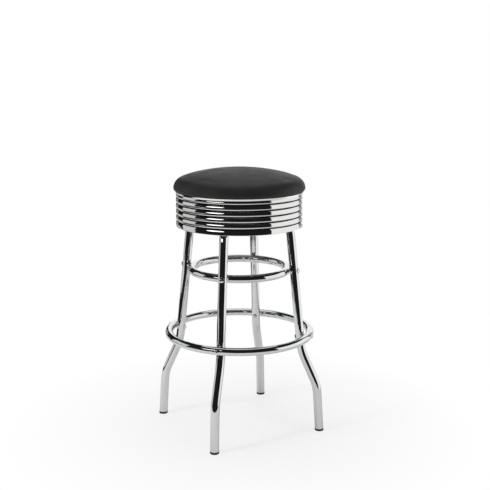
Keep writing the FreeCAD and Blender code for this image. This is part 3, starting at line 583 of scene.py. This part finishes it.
def plywood(name, tint):
    """Birch plywood: a wandering grain on the faces and thin alternate plies on the edge."""
    finish = Finish(name, specular_ior_level=0.3)
    ply = 0.0026
    stretched = finish.add("ShaderNodeMapping", {"Vector": finish.place, "Scale": (6.0, 60.0, 20.0)})[0]
    figure = finish.noise(stretched, 1.6, 6.0, 0.6, 0.8)
    pores = finish.noise(stretched, 30.0, 3.0)
    face = finish.blend(finish.spread(figure, 0.0, 1.0, 0.35, 0.65), toned(tint, 1.15), toned(tint, 0.8))
    face = finish.blend(finish.spread(pores, 0.0, 0.45, 0.55, 0.8), face, toned(tint, 0.45))
    height = finish.add("ShaderNodeSeparateXYZ", {"Vector": finish.place})["Z"]
    plies = finish.calculate("SINE", finish.calculate("MULTIPLY", height, 2 * math.pi / ply))
    edge = finish.blend(finish.spread(plies, 0.0, 1.0, -0.2, 0.2), toned(tint, 0.55), tint)
    normal = finish.add("ShaderNodeNewGeometry")["Normal"]
    upright = finish.calculate("ABSOLUTE", finish.add("ShaderNodeSeparateXYZ", {"Vector": normal})["Z"])
    finish.feed("Base Color", finish.blend(finish.spread(upright, 0.0, 1.0, 0.4, 0.6), edge, face))
    finish.feed("Roughness", finish.spread(figure, 0.55, 0.72))
    finish.bump((pores, 0.3, 0.0002))
    return finish.material


def finish_of(slot):
    """Each finish is made once, when the first piece asks for it."""
    name = "stool_" + slot
    if name in bpy.data.materials:
        return bpy.data.materials[name]
    stool = bpy.context.scene.stool
    tints = stool.finishes
    made = {
        "tube_chrome": lambda: chrome(name, tints.chrome),
        "band_chrome": lambda: chrome(name, tints.band, 0.02, 0.06, 0.03, stool.band),
        "bolt_chrome": lambda: chrome(name, tints.bolts, 0.12, 0.2, 0.0),
        "zinc_steel": lambda: plated(name, tints.zinc, 0.34, 700.0),
        "swivel_steel": lambda: plated(name, tints.steel, 0.38, 260.0),
        "ball_steel": lambda: chrome(name, tints.balls, 0.05, 0.1, 0.0),
        "cage_nylon": lambda: moulded(name, tints.nylon, 0.45),
        "plywood": lambda: plywood(name, tints.plywood),
        "black_vinyl": lambda: vinyl(name, tints.vinyl),
        "foot_plastic": lambda: moulded(name, tints.plastic, 0.5),
    }
    return made[slot]()


# Legs
def crossing_reach(legs, rings):
    """Distance between the centre lines of a leg and a ring where they cross."""
    return legs.tube / 2 + rings.tube / 2 + rings.gap


def crossing_lean(legs, rings):
    """Lean of the leg that touches the upper ring from outside and the foot ring from inside."""
    run = rings.foot_radius - rings.upper_radius
    rise = rings.upper_height - rings.foot_height
    return math.atan2(run, rise) - math.asin(2 * crossing_reach(legs, rings) / math.hypot(run, rise))


def bolt_way(lean):
    """Outward way of the bolts at the crossings, square to the leg."""
    return Vector((math.cos(lean), 0, math.sin(lean)))


def leg_radius(legs, rings, height):
    """Radius of the leg's upper straight run at a height."""
    lean = crossing_lean(legs, rings)
    upper = rings.upper_radius + crossing_reach(legs, rings) / math.cos(lean)
    return upper + math.tan(lean) * (rings.upper_height - height)


class STOOL_OT_legs(bpy.types.Operator):
    """Bends a leg tube, presses its flats and sets four of them round the swivel"""

    bl_idname = "stool.legs"
    bl_label = "Legs"

    def execute(self, context):
        legs = context.scene.stool.legs
        rings = context.scene.stool.rings
        bolts = context.scene.stool.bolts
        foot_slope = (legs.foot_radius - legs.low_radius) / legs.low_height
        foot = legs.foot_radius - foot_slope * legs.tip_height
        corners = [
            (foot, legs.tip_height),
            (legs.low_radius, legs.low_height),
            (leg_radius(legs, rings, legs.high_height), legs.high_height),
            (leg_radius(legs, rings, legs.top_height), legs.top_height),
            (legs.end_radius, legs.top_height),
        ]
        leg = self.bent_tube(legs, corners, (legs.low_bend, legs.high_bend, legs.top_bend))
        self.press_flats(legs, rings, bolts)
        close_up()
        leave()
        apply_modifier(leg, "SOLIDIFY", thickness=legs.wall, offset=-1.0, use_even_offset=True)
        smooth(leg)
        for place, degrees in LEG_TURNS.items():
            copy = turned_copy(leg, f"leg_tube_{place}", degrees)
            hand_over(copy, "base", "tube_chrome", f"leg_{place}")
        bpy.data.objects.remove(leg)
        return {"FINISHED"}

    def bent_tube(self, legs, corners, bends):
        """Draws a circle of faces along the corners, with a spin at each bend."""
        least_steps = 6
        points = [Vector((across, 0, up)) for across, up in corners]
        deselect_all()
        bpy.ops.mesh.primitive_circle_add(vertices=legs.facets, radius=legs.tube / 2, location=points[0])
        leg = named("leg_tube")
        edit()
        bpy.ops.mesh.select_mode(type="VERT")
        bpy.ops.mesh.select_all(action="SELECT")
        here = points[0]
        for index, bend in enumerate(bends, start=1):
            corner = points[index]
            before = (corner - points[index - 1]).normalized()
            after = (points[index + 1] - corner).normalized()
            swing = before.angle(after)
            reach = bend * math.tan(swing / 2)
            axis = before.cross(after).normalized()
            centre = corner - before * reach + axis.cross(before) * bend
            self.run(corner - before * reach - here, legs.stride)
            steps = max(least_steps, round(swing * bend / legs.stride))
            bpy.ops.mesh.spin(steps=steps, angle=-swing, center=centre, axis=axis)
            here = corner + after * reach
            middle = self.selected_middle(leg)
            if (middle - here).length > MM:
                raise RuntimeError(f"the bend at {tuple(corner)} turned the wrong way, to {tuple(middle)}")
        self.run(points[-1] - here, legs.stride)
        return leg

    def run(self, way, stride):
        steps = max(1, round(way.length / stride))
        for _ in range(steps):
            extrude(way / steps)

    def selected_middle(self, leg):
        places = [corner.co for corner in bmesh.from_edit_mesh(leg.data).verts if corner.select]
        return sum(places, Vector()) / len(places)

    def press_flats(self, legs, rings, bolts):
        """Flats under the swivel plate, under the washer and under the heads of the ring bolts."""
        half = legs.tube / 2
        top = legs.top_height + half - legs.flat_depth
        bottom = legs.top_height - half + legs.flat_depth
        plate_end = 0.078
        flatten(lambda place: place.x < plate_end, Vector((0, 0, top)), UP)
        washer = Vector((legs.bolt_radius, 0, 0))
        flatten(lambda place: (place.xy - washer.xy).length < legs.washer / 2, Vector((0, 0, bottom)), -UP)
        along = bolt_way(crossing_lean(legs, rings))
        reach = crossing_reach(legs, rings)
        for radius, height, side in (
            (rings.upper_radius, rings.upper_height, 1), (rings.foot_radius, rings.foot_height, -1),
        ):
            middle = Vector((radius, 0, height)) + along * reach * side
            press_pocket(bolts, middle, along * side, half - bolts.seat)


# Rings
class STOOL_OT_rings(bpy.types.Operator):
    """Adds the upper ring and the foot ring, with a flat pressed under each head"""

    bl_idname = "stool.rings"
    bl_label = "Rings"

    def execute(self, context):
        legs = context.scene.stool.legs
        rings = context.scene.stool.rings
        bolts = context.scene.stool.bolts
        lean = crossing_lean(legs, rings)
        for name, radius, height, side in (
            ("upper_ring", rings.upper_radius, rings.upper_height, -1),
            ("foot_ring", rings.foot_radius, rings.foot_height, 1),
        ):
            deselect_all()
            bpy.ops.mesh.primitive_torus_add(
                major_segments=rings.rows, minor_segments=rings.facets, major_radius=radius,
                minor_radius=rings.tube / 2, location=(0, 0, height),
            )
            ring = named(f"{name}_tube")
            edit()
            for degrees in LEG_TURNS.values():
                swing = Matrix.Rotation(math.radians(degrees), 3, "Z")
                along = swing @ bolt_way(lean)
                middle = swing @ Vector((radius, 0, height))
                press_pocket(bolts, middle, along * side, rings.tube / 2 - bolts.seat)
            close_up()
            leave()
            smooth(ring)
            hand_over(ring, "base", "tube_chrome", name)
        return {"FINISHED"}


# Ring bolts and sleeve nuts
class STOOL_OT_ring_bolts(bpy.types.Operator):
    """Turns a domed socket head with its stem and sets it at each crossing of a leg and a ring"""

    bl_idname = "stool.ring_bolts"
    bl_label = "Ring bolts"

    def execute(self, context):
        legs = context.scene.stool.legs
        rings = context.scene.stool.rings
        bolts = context.scene.stool.bolts
        lean = crossing_lean(legs, rings)
        crossing = crossing_reach(legs, rings)
        leg_half = legs.tube / 2
        ring_half = rings.tube / 2
        seats = {
            "upper_ring": (
                rings.upper_radius, rings.upper_height,
                crossing + leg_half - bolts.seat, bolts.seat - ring_half,
            ),
            "foot_ring": (
                rings.foot_radius, rings.foot_height,
                ring_half - bolts.seat, bolts.seat - leg_half - crossing,
            ),
        }
        for name, (radius, height, outer, inner) in seats.items():
            bolt_stem = outer - inner - bolts.end_gap
            for suffix, seat, side, stem, stem_length in (
                ("bolts", outer, 1, bolts.shank, bolt_stem),
                ("sleeve_nuts", inner, -1, bolts.sleeve, bolts.sleeve_length),
            ):
                head = self.head(bolts, stem, stem_length)
                along = bolt_way(lean) * side
                place = Vector((radius, 0, height)) + along * (seat * side)
                aimed = along.to_track_quat("Z", "Y").to_matrix().to_4x4()
                head.matrix_world = Matrix.Translation(place) @ aimed
                take(head)
                bpy.ops.object.transform_apply(location=True, rotation=True, scale=True)
                smooth(head, 40.0)
                copies = [
                    turned_copy(head, f"{name}_{suffix}_{leg}", degrees)
                    for leg, degrees in LEG_TURNS.items()
                ]
                bpy.data.objects.remove(head)
                whole = join(copies, f"{name}_{suffix}_set")
                hand_over(whole, "base", "bolt_chrome", f"{name}_{suffix}")
        return {"FINISHED"}

    def head(self, bolts, stem, stem_length):
        """A domed head on the plane z = 0 with a hexagon socket above and a stem below."""
        facets = 48
        half = bolts.head / 2
        dome = bolts.rise - bolts.edge
        ball = (half * half + dome * dome) / (2 * dome)
        deselect_all()
        bpy.ops.mesh.primitive_cylinder_add(
            vertices=facets, radius=half, depth=bolts.edge, location=(0, 0, bolts.edge / 2)
        )
        head = named("domed_head")
        edit()
        choose(lambda place, normal: normal.z > 0.9)
        radius = half
        level = bolts.edge
        flat = math.pi / 3
        opening = 1.25 * bolts.socket / 2 / math.cos(flat / 2)
        stations = 7
        for step in range(1, stations + 1):
            new_radius = half + (opening - half) * step / stations
            drop = ball - math.sqrt(ball * ball - new_radius * new_radius)
            new_level = bolts.rise - drop
            extrude((0, 0, new_level - level))
            shrink = new_radius / radius
            bpy.ops.transform.resize(value=(shrink, shrink, 1.0), center_override=(0, 0, new_level))
            radius, level = new_radius, new_level
        extrude((0, 0, 0))
        net = bmesh.from_edit_mesh(head.data)
        for corner in net.verts:
            if corner.select:
                swing = math.atan2(corner.co.y, corner.co.x) % flat - flat / 2
                size = bolts.socket / 2 / math.cos(swing)
                corner.co.x, corner.co.y = Vector((corner.co.x, corner.co.y)).normalized() * size
        bmesh.update_edit_mesh(head.data)
        extrude((0, 0, -bolts.socket_depth))
        choose(lambda place, normal: normal.z < -0.9 and place.z < bolts.edge / 2)
        shrink = stem / 2 / half
        extrude((0, 0, 0))
        bpy.ops.transform.resize(value=(shrink, shrink, 1.0), center_override=(0, 0, 0))
        extrude((0, 0, -stem_length))
        close_up()
        leave()
        return head


# Band
class STOOL_OT_band(bpy.types.Operator):
    """Draws the ribbed profile of the band and spins it round the swivel's axis"""

    bl_idname = "stool.band"
    bl_label = "Band"

    def execute(self, context):
        band = context.scene.stool.band
        edge = band.radius - band.rib_rise
        inside = edge - band.groove_depth - band.web
        bottom = band.top - band.height
        pitch = band.height / band.ribs
        half_groove = band.groove / 2
        groove_steps = 8
        rib_steps = 14
        points = [(inside, bottom), (edge, bottom)]
        for rib in range(band.ribs):
            low = bottom + pitch * rib + half_groove
            high = bottom + pitch * (rib + 1) - half_groove
            if rib == 0:
                low = bottom
            if rib == band.ribs - 1:
                high = band.top - band.lip
            if rib > 0:
                points += arc_points(points[-1], (edge, low), -band.groove_depth, groove_steps)
            swell = arc_points((edge, low), (edge, high), band.rib_rise, rib_steps)
            if rib == 0:
                # The lowest rib stands straight below its crest
                points[-1] = (band.radius - band.lip_edge, bottom)
                points.append((band.radius, bottom + band.lip_edge))
                points.append((band.radius, bottom + 3 * band.lip_edge))
                swell = [place for place in swell if place[1] >= (low + high) / 2]
            points += swell
        foot = points[-1][1] + band.lip_edge
        for climb in (0.0, 0.15, 0.5, 0.85, 1.0):
            points.append((
                band.lip_reach - band.lip_flare * (1 - climb),
                foot + (band.top - band.lip_edge - foot) * climb,
            ))
        points.append((band.lip_reach - band.lip_edge, band.top))
        points.append((inside, band.top))
        piece = turned_profile("ribbed_band", points, band.rows)
        smooth(piece, 60.0)
        hand_over(piece, "seat", "band_chrome", "seat_band")
        return {"FINISHED"}


# Cushion
def cushion_profile(cushion):
    """Outline of the filled cushion from its apex to its rim, as radius and height."""
    run = cushion.radius - cushion.shoulder
    rise = cushion.top - cushion.widest
    crown = (run * run + rise * rise - cushion.shoulder ** 2) / (2 * (rise - cushion.shoulder))
    crown_centre = cushion.top - crown
    opening = math.asin(run / (crown - cushion.shoulder))
    crown_steps, shoulder_steps, rim_steps = 60, 30, 8
    points = []
    for step in range(crown_steps + 1):
        swing = opening * step / crown_steps
        points.append((crown * math.sin(swing), crown_centre + crown * math.cos(swing)))
    for step in range(1, shoulder_steps + 1):
        swing = opening + (math.pi / 2 - opening) * step / shoulder_steps
        points.append((
            run + cushion.shoulder * math.sin(swing), cushion.widest + cushion.shoulder * math.cos(swing)
        ))
    drop = cushion.widest - cushion.rim_height
    inward = cushion.radius - cushion.rim
    curve = (drop * drop + inward * inward) / (2 * inward)
    turn_in = math.asin(drop / curve)
    for step in range(1, rim_steps + 1):
        swing = turn_in * step / rim_steps
        points.append((
            cushion.radius - curve + curve * math.cos(swing), cushion.widest - curve * math.sin(swing)
        ))
    return points


class STOOL_OT_cushion(bpy.types.Operator):
    """Fills the cushion by cloth simulation, presses it to its outline and hems its cover"""

    bl_idname = "stool.cushion"
    bl_label = "Cushion"

    def execute(self, context):
        cushion = context.scene.stool.cushion
        pad = self.filled(context, cushion)
        hand_over(pad, "seat", "black_vinyl", "seat_cover", "seat_foam")
        hem = self.hem(cushion)
        hand_over(hem, "seat", "black_vinyl")
        return {"FINISHED"}

    def filled(self, context, cushion):
        """A slack cushion on a voxel grid, filled and pressed to its outline."""
        rows = 160
        fade = 0.012
        profile = cushion_profile(cushion)
        start = []
        for across, up in profile:
            lift = max(0.0, min(1.0, (up - cushion.rim_height) / fade))
            shrink = cushion.slack * lift
            start.append((max(0.0, across - shrink * across / cushion.radius), up - shrink))
        neck = cushion.neck - cushion.sheet
        start += [(neck, cushion.rim_height), (neck, cushion.rest), (0.0, cushion.rest)]
        pad = turned_profile("cushion", start, rows, closed=False)
        apply_modifier(pad, "REMESH", mode="VOXEL", voxel_size=cushion.grid, use_smooth_shade=True)
        self.inflate(context, pad, cushion)
        apply_modifier(pad, "SMOOTH", factor=0.5, iterations=8)
        apply_modifier(pad, "SUBSURF", levels=1, render_levels=1)
        self.press_to_shape(pad, cushion, profile)
        take(pad)
        bpy.ops.object.shade_smooth()
        return pad

    def inflate(self, context, pad, cushion):
        """Cloth with a little pressure, held where the cover goes down inside the band."""
        last_frame = 20
        most = 0.006
        held = pad.vertex_groups.new(name="held")
        fixed = [corner.index for corner in pad.data.vertices if corner.co.z < cushion.rim_height + MM]
        held.add(fixed, 1.0, "REPLACE")
        before = np.array([corner.co[:] for corner in pad.data.vertices])
        take(pad)
        modifier = pad.modifiers.new("Cloth", "CLOTH")
        cloth = modifier.settings
        cloth.quality = 5
        cloth.mass = 0.3
        cloth.tension_stiffness = 15
        cloth.compression_stiffness = 15
        cloth.shear_stiffness = 5
        cloth.bending_stiffness = 0.5
        cloth.use_pressure = True
        cloth.uniform_pressure_force = cushion.pressure
        cloth.vertex_group_mass = "held"
        cloth.effector_weights.gravity = 0.0
        for frame_number in range(1, last_frame + 1):
            context.scene.frame_set(frame_number)
        bpy.ops.object.modifier_apply(modifier=modifier.name)
        context.scene.frame_set(1)
        after = np.array([corner.co[:] for corner in pad.data.vertices])
        moved = after - before
        distance = np.linalg.norm(moved, axis=1, keepdims=True)
        moved *= np.minimum(1.0, most / np.maximum(distance, 1e-9))
        pad.data.vertices.foreach_set("co", (before + moved).ravel())
        pad.vertex_groups.clear()

    def press_to_shape(self, pad, cushion, profile):
        """Keeps the filled cushion within a small reach of its outline, exactly on it at the rim."""
        most_reach = 0.0025
        least_climb = 0.02
        give = 0.25
        rim_play = 0.0005
        outline = np.array(profile)
        way = np.gradient(outline, axis=0)
        way /= np.linalg.norm(way, axis=1, keepdims=True)
        normal = np.stack([-way[:, 1], way[:, 0]], axis=1)
        places = np.array([corner.co[:] for corner in pad.data.vertices])
        radius = np.hypot(places[:, 0], places[:, 1])
        flat = np.stack([radius, places[:, 2]], axis=1)
        gaps = np.linalg.norm(flat[:, None, :] - outline[None, :, :], axis=2)
        nearest = gaps.argmin(axis=1)
        out = ((flat - outline[nearest]) * normal[nearest]).sum(axis=1)
        climb = (places[:, 2] - cushion.widest) / (cushion.top - cushion.widest)
        climb = np.clip(climb, least_climb, 1.0)
        reach = most_reach * climb * (2.0 - climb)
        wanted = reach * np.tanh(give * out / reach)
        shaped = places[:, 2] > cushion.rim_height - rim_play
        flat = np.where(shaped[:, None], flat + normal[nearest] * (wanted - out)[:, None], flat)
        flat[:, 0] = np.where(shaped, flat[:, 0], np.minimum(flat[:, 0], cushion.neck - cushion.sheet))
        grow = flat[:, 0] / np.maximum(radius, 1e-9)
        places[:, 0] *= grow
        places[:, 1] *= grow
        places[:, 2] = flat[:, 1]
        pad.data.vertices.foreach_set("co", places.ravel())
        pad.data.update()

    def hem(self, cushion):
        """The cover's neck inside the band and its hem under the board, cut by hand along the edge."""
        outer = cushion.neck
        inner = outer - cushion.hem
        bottom = cushion.board_bottom - cushion.sheet
        corner = 0.001
        neck_rise = 0.008
        rows = 240
        cut_back, long_wave, short_wave = 0.002, 0.0012, 0.0005
        points = [
            (outer, cushion.rest + neck_rise),
            (outer, bottom + corner),
            (outer - corner / 3, bottom + corner / 3),
            (outer - corner, bottom),
            (outer - cushion.hem / 3, bottom),
            (outer - cushion.hem * 2 / 3, bottom),
            (inner, bottom),
        ]
        hem = turned_profile("cover_hem", points, rows, closed=False)
        edit()
        net = bmesh.from_edit_mesh(hem.data)
        for vertex in net.verts:
            radius = vertex.co.xy.length
            if radius < inner + corner:
                swing = math.atan2(vertex.co.y, vertex.co.x)
                ragged = long_wave * math.sin(12 * swing + 0.7) + short_wave * math.sin(31 * swing)
                vertex.co.xy *= (radius - cut_back + ragged) / radius
        bmesh.update_edit_mesh(hem.data)
        close_up()
        leave()
        apply_modifier(hem, "SOLIDIFY", thickness=cushion.sheet * 0.95, offset=-1.0)
        smooth(hem)
        return hem


# The frame's own pieces that stay as they are
class STOOL_OT_hardware(bpy.types.Operator):
    """Gives the tips, swivel, board, brackets, screws and staples their finishes"""

    bl_idname = "stool.hardware"
    bl_label = "Tips, swivel and board"

    def execute(self, context):
        finishes = {
            "foot_plastic": [f"foot_tip_{place}" for place in LEG_TURNS],
            "zinc_steel": [
                "leg_top_bolts", "leg_top_washers", "leg_top_nuts", "king_pin", "seat_bolts",
                "threaded_inserts", "band_brackets", "band_screws", "cover_staples",
            ],
            "swivel_steel": ["swivel_lower_plate", "swivel_upper_plate"],
            "ball_steel": ["swivel_balls"],
            "cage_nylon": ["ball_cage"],
            "plywood": ["seat_board"],
        }
        for finish, names in finishes.items():
            for name in names:
                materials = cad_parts[name].data.materials
                materials.clear()
                materials.append(finish_of(finish))
        return {"FINISHED"}


# Stage
class STOOL_OT_stage(bpy.types.Operator):
    """Sets the camera, the pale floor, the studio's light and its dark front"""

    bl_idname = "stool.stage"
    bl_label = "Camera, floor and light"

    def execute(self, context):
        stage = context.scene.stool.stage
        context.scene.view_settings.view_transform = "Standard"
        self.camera(context, stage)
        self.floor(stage)
        self.lamps(stage)
        self.world(context, stage)
        return {"FINISHED"}

    def camera(self, context, stage):
        deselect_all()
        across = stage.distance * math.sin(stage.turn)
        away = stage.distance * math.cos(stage.turn)
        aim = (
            Matrix.Rotation(stage.turn - stage.yaw, 3, "Z")
            @ Matrix.Rotation(math.pi / 2 - stage.pitch, 3, "X")
            @ Matrix.Rotation(-stage.roll, 3, "Z")
        )
        bpy.ops.object.camera_add(location=(across, -away, stage.height), rotation=aim.to_euler())
        camera = context.object
        camera.name = "photo_camera"
        camera.data.lens = stage.lens
        camera.data.sensor_width = 36.0
        camera.data.clip_end = 100.0
        context.scene.camera = camera

    def floor(self, stage):
        deselect_all()
        bpy.ops.mesh.primitive_plane_add(size=1.0)
        floor = bpy.context.object
        floor.name = "studio_floor"
        floor.scale = (2 * stage.floor_side, stage.floor_front + stage.floor_back, 1.0)
        middle = (stage.floor_back - stage.floor_front) / 2
        floor.location = Matrix.Rotation(stage.turn, 3, "Z") @ Vector((0, middle, 0))
        floor.rotation_euler.z = stage.turn
        take(floor)
        bpy.ops.object.transform_apply(location=True, rotation=True, scale=True)
        floor.data.materials.append(self.floor_finish(stage))

    def floor_finish(self, stage):
        """Paler with distance to the camera, clear from below, and the studio's own to metal."""
        finish = Finish("pale_floor", roughness=0.85, specular_ior_level=0.1)
        tint = stage.floor_colour
        speckle = finish.group("speckle", speckle_group, size=500.0)
        finish.feed("Base Color", finish.blend(speckle["Mask"], toned(tint, 0.99), toned(tint, 1.01)))
        distance = finish.vector("LENGTH", finish.place)["Value"]
        rays = finish.add("ShaderNodeLightPath")
        fade_start, fade_end, least_white = 0.2, 0.7, 0.74
        fade = finish.spread(distance, least_white, 1.0, fade_start, fade_end)
        fade = finish.calculate("MULTIPLY", fade, rays["Is Camera Ray"])
        white = finish.add("ShaderNodeEmission", {"Strength": 1.0})[0]
        pale = finish.mix(fade, finish.shader.outputs[0], white)
        beyond, level = self.beyond_floor(finish, distance, stage)
        beyond = finish.calculate("MULTIPLY", beyond, rays["Is Glossy Ray"])
        studio = finish.add("ShaderNodeEmission", {"Strength": level})[0]
        above = finish.mix(beyond, pale, studio)
        under = finish.add("ShaderNodeNewGeometry")["Backfacing"]
        whole = finish.mix(under, above, finish.add("ShaderNodeBsdfTransparent")[0])
        finish.put(whole, finish.tree.nodes["Material Output"].inputs["Surface"])
        return finish.material

    def beyond_floor(self, finish, distance, stage):
        """Where metal sees the lit floor end, and the level beyond: dark, and white at the right."""
        dark_left = (math.radians(-128), math.radians(-122))
        panel_left = (math.radians(57), math.radians(60))
        panel_right = (math.radians(134), math.radians(137))
        dark_end = (2.1, 2.4)
        dark_level, panel_level = 0.012, 0.95
        place = finish.add("ShaderNodeSeparateXYZ", {"Vector": finish.place})
        bearing = self.bearing(finish, place, stage)
        lit_end = (stage.floor_lit, stage.floor_lit + stage.floor_edge)
        beyond = finish.spread(distance, 0.0, 1.0, *lit_end)
        on_panel = finish.spread(bearing, 0.0, 1.0, *panel_left)
        before_end = finish.spread(distance, 1.0, 0.0, *dark_end)
        for mask in (
            finish.spread(bearing, 0.0, 1.0, *dark_left),
            finish.spread(bearing, 1.0, 0.0, *panel_right),
            finish.calculate("MAXIMUM", before_end, on_panel),
        ):
            beyond = finish.calculate("MULTIPLY", beyond, mask)
        return beyond, finish.spread(bearing, dark_level, panel_level, *panel_left)

    def lamps(self, stage):
        """An overhead lamp, the lamp that casts the faint shadows and the soft box."""
        for name, bearing, distance, height, wide, tall, power, aim in (
            ("ceiling_lamp", 180.0, 0.35, 2.3, 2.0, 2.0, stage.ceiling, 0.3),
            ("key_lamp", -62.0, 2.6, 2.4, 0.5, 0.5, stage.key, 0.2),
            ("soft_box", -40.0, 0.97, 0.73, 0.54, 0.19, stage.soft_box, 0.7),
        ):
            swing = stage.turn + math.radians(bearing)
            place = Vector((distance * math.sin(swing), -distance * math.cos(swing), height))
            aimed = (place - Vector((0, 0, aim))).to_track_quat("Z", "Y").to_euler()
            deselect_all()
            bpy.ops.object.light_add(type="AREA", location=place, rotation=aimed)
            lamp = bpy.context.object
            lamp.name = name
            lamp.data.shape = "ELLIPSE"
            lamp.data.size = wide
            lamp.data.size_y = tall
            lamp.data.energy = power
            lamp.visible_camera = False
            lamp.visible_glossy = name != "key_lamp"

    def world(self, context, stage):
        """White to the camera, even light for matt surfaces, and the studio's own picture for metal."""
        world = bpy.data.worlds.new("studio")
        context.scene.world = world
        world.use_nodes = True
        nodes = Nodes(world.node_tree)
        way = nodes.add("ShaderNodeTexCoord")["Generated"]
        parts = nodes.add("ShaderNodeSeparateXYZ", {"Vector": way})
        bearing = self.bearing(nodes, parts, stage)
        lift = nodes.calculate("ARCSINE", parts["Z"])
        seen = (0.0, 0.0, 0.0, 1.0)
        for card in STUDIO_CARDS:
            seen = self.card(nodes, bearing, lift, seen, *card)
        white = (1.0, 1.0, 1.0, 1.0)
        metal, even, bare = (
            nodes.add("ShaderNodeBackground", {"Color": tone, "Strength": strength})[0]
            for tone, strength in ((seen, 1.0), (white, stage.sky), (white, 1.0))
        )
        rays = nodes.add("ShaderNodeLightPath")
        light = nodes.mix(rays["Is Diffuse Ray"], metal, even)
        light = nodes.mix(rays["Is Camera Ray"], light, bare)
        out = [node for node in nodes.tree.nodes if node.type == "OUTPUT_WORLD"][0]
        nodes.put(light, out.inputs["Surface"])

    def bearing(self, nodes, parts, stage):
        """Angle of a direction round the stool, 0 towards the camera and positive to its right."""
        ahead = nodes.calculate("MULTIPLY", parts["Y"], -1.0)
        bearing = nodes.calculate("ARCTAN2", parts["X"], ahead)
        turned = nodes.calculate("SUBTRACT", bearing, stage.turn)
        return nodes.calculate("WRAP", turned, math.pi, -math.pi)

    def card(self, nodes, bearing, lift, below, left, right, low, high, level, soft):
        """Lays one card of the studio over what is already there."""
        half = math.radians(soft) / 2
        mask = 1.0
        for value, limit, edges in ((bearing, 180.0, (left, right)), (lift, 90.0, (low, high))):
            for edge, way in zip(edges, (1.0, -1.0)):
                if abs(edge) < limit:
                    middle = math.radians(edge)
                    step = nodes.spread(
                        value, 0.0, 1.0, middle - half * way, middle + half * way,
                        interpolation_type="SMOOTHSTEP",
                    )
                    mask = step if mask == 1.0 else nodes.calculate("MULTIPLY", mask, step)
        return nodes.blend(mask, below, (level, level, level))


# What chrome sees: bearings and heights in degrees, the level and the softness of the edges
STUDIO_CARDS = (
    (-180.0, 180.0, -90.0, 90.0, 0.95, 4.0),
    (-180.0, 180.0, 32.0, 90.0, 0.3, 6.0),
    (-168.0, 150.0, -90.0, 90.0, 0.012, 3.0),
    (-160.0, -145.0, -40.0, 14.0, 0.3, 5.0),
    (-122.0, -86.0, -11.0, 30.0, 0.66, 3.0),
    (134.0, 150.0, -60.0, 30.0, 0.25, 3.0),
    (59.0, 134.0, -60.0, 30.0, 0.95, 1.5),
)


# Panel
class STOOL_PT_sidebar(bpy.types.Panel):
    """Lists the stool's pieces and their sizes"""

    bl_label = "Diner stool"
    bl_idname = "STOOL_PT_sidebar"
    bl_space_type = "VIEW_3D"
    bl_region_type = "UI"
    bl_category = "Stool"

    def draw(self, context):
        for operator in OPERATORS:
            self.layout.operator(operator.bl_idname)
        for key, group in GROUPS.items():
            box = self.layout.box()
            box.label(text=key.title())
            for field in group.__annotations__:
                box.prop(getattr(context.scene.stool, key), field)


OPERATORS = (
    STOOL_OT_legs,
    STOOL_OT_rings,
    STOOL_OT_ring_bolts,
    STOOL_OT_band,
    STOOL_OT_cushion,
    STOOL_OT_hardware,
    STOOL_OT_stage,
)
CLASSES = (*GROUPS.values(), StoolSettings, *OPERATORS, STOOL_PT_sidebar)


def register():
    for item in CLASSES:
        bpy.utils.register_class(item)
    bpy.types.Scene.stool = bpy.props.PointerProperty(type=StoolSettings)


def unregister():
    del bpy.types.Scene.stool
    for item in reversed(CLASSES):
        bpy.utils.unregister_class(item)


def main():
    register()
    bpy.ops.stool.legs()
    bpy.ops.stool.rings()
    bpy.ops.stool.ring_bolts()
    bpy.ops.stool.band()
    bpy.ops.stool.cushion()
    bpy.ops.stool.hardware()
    bpy.ops.stool.stage()
    deselect_all()


if __name__ == "__main__":
    main()
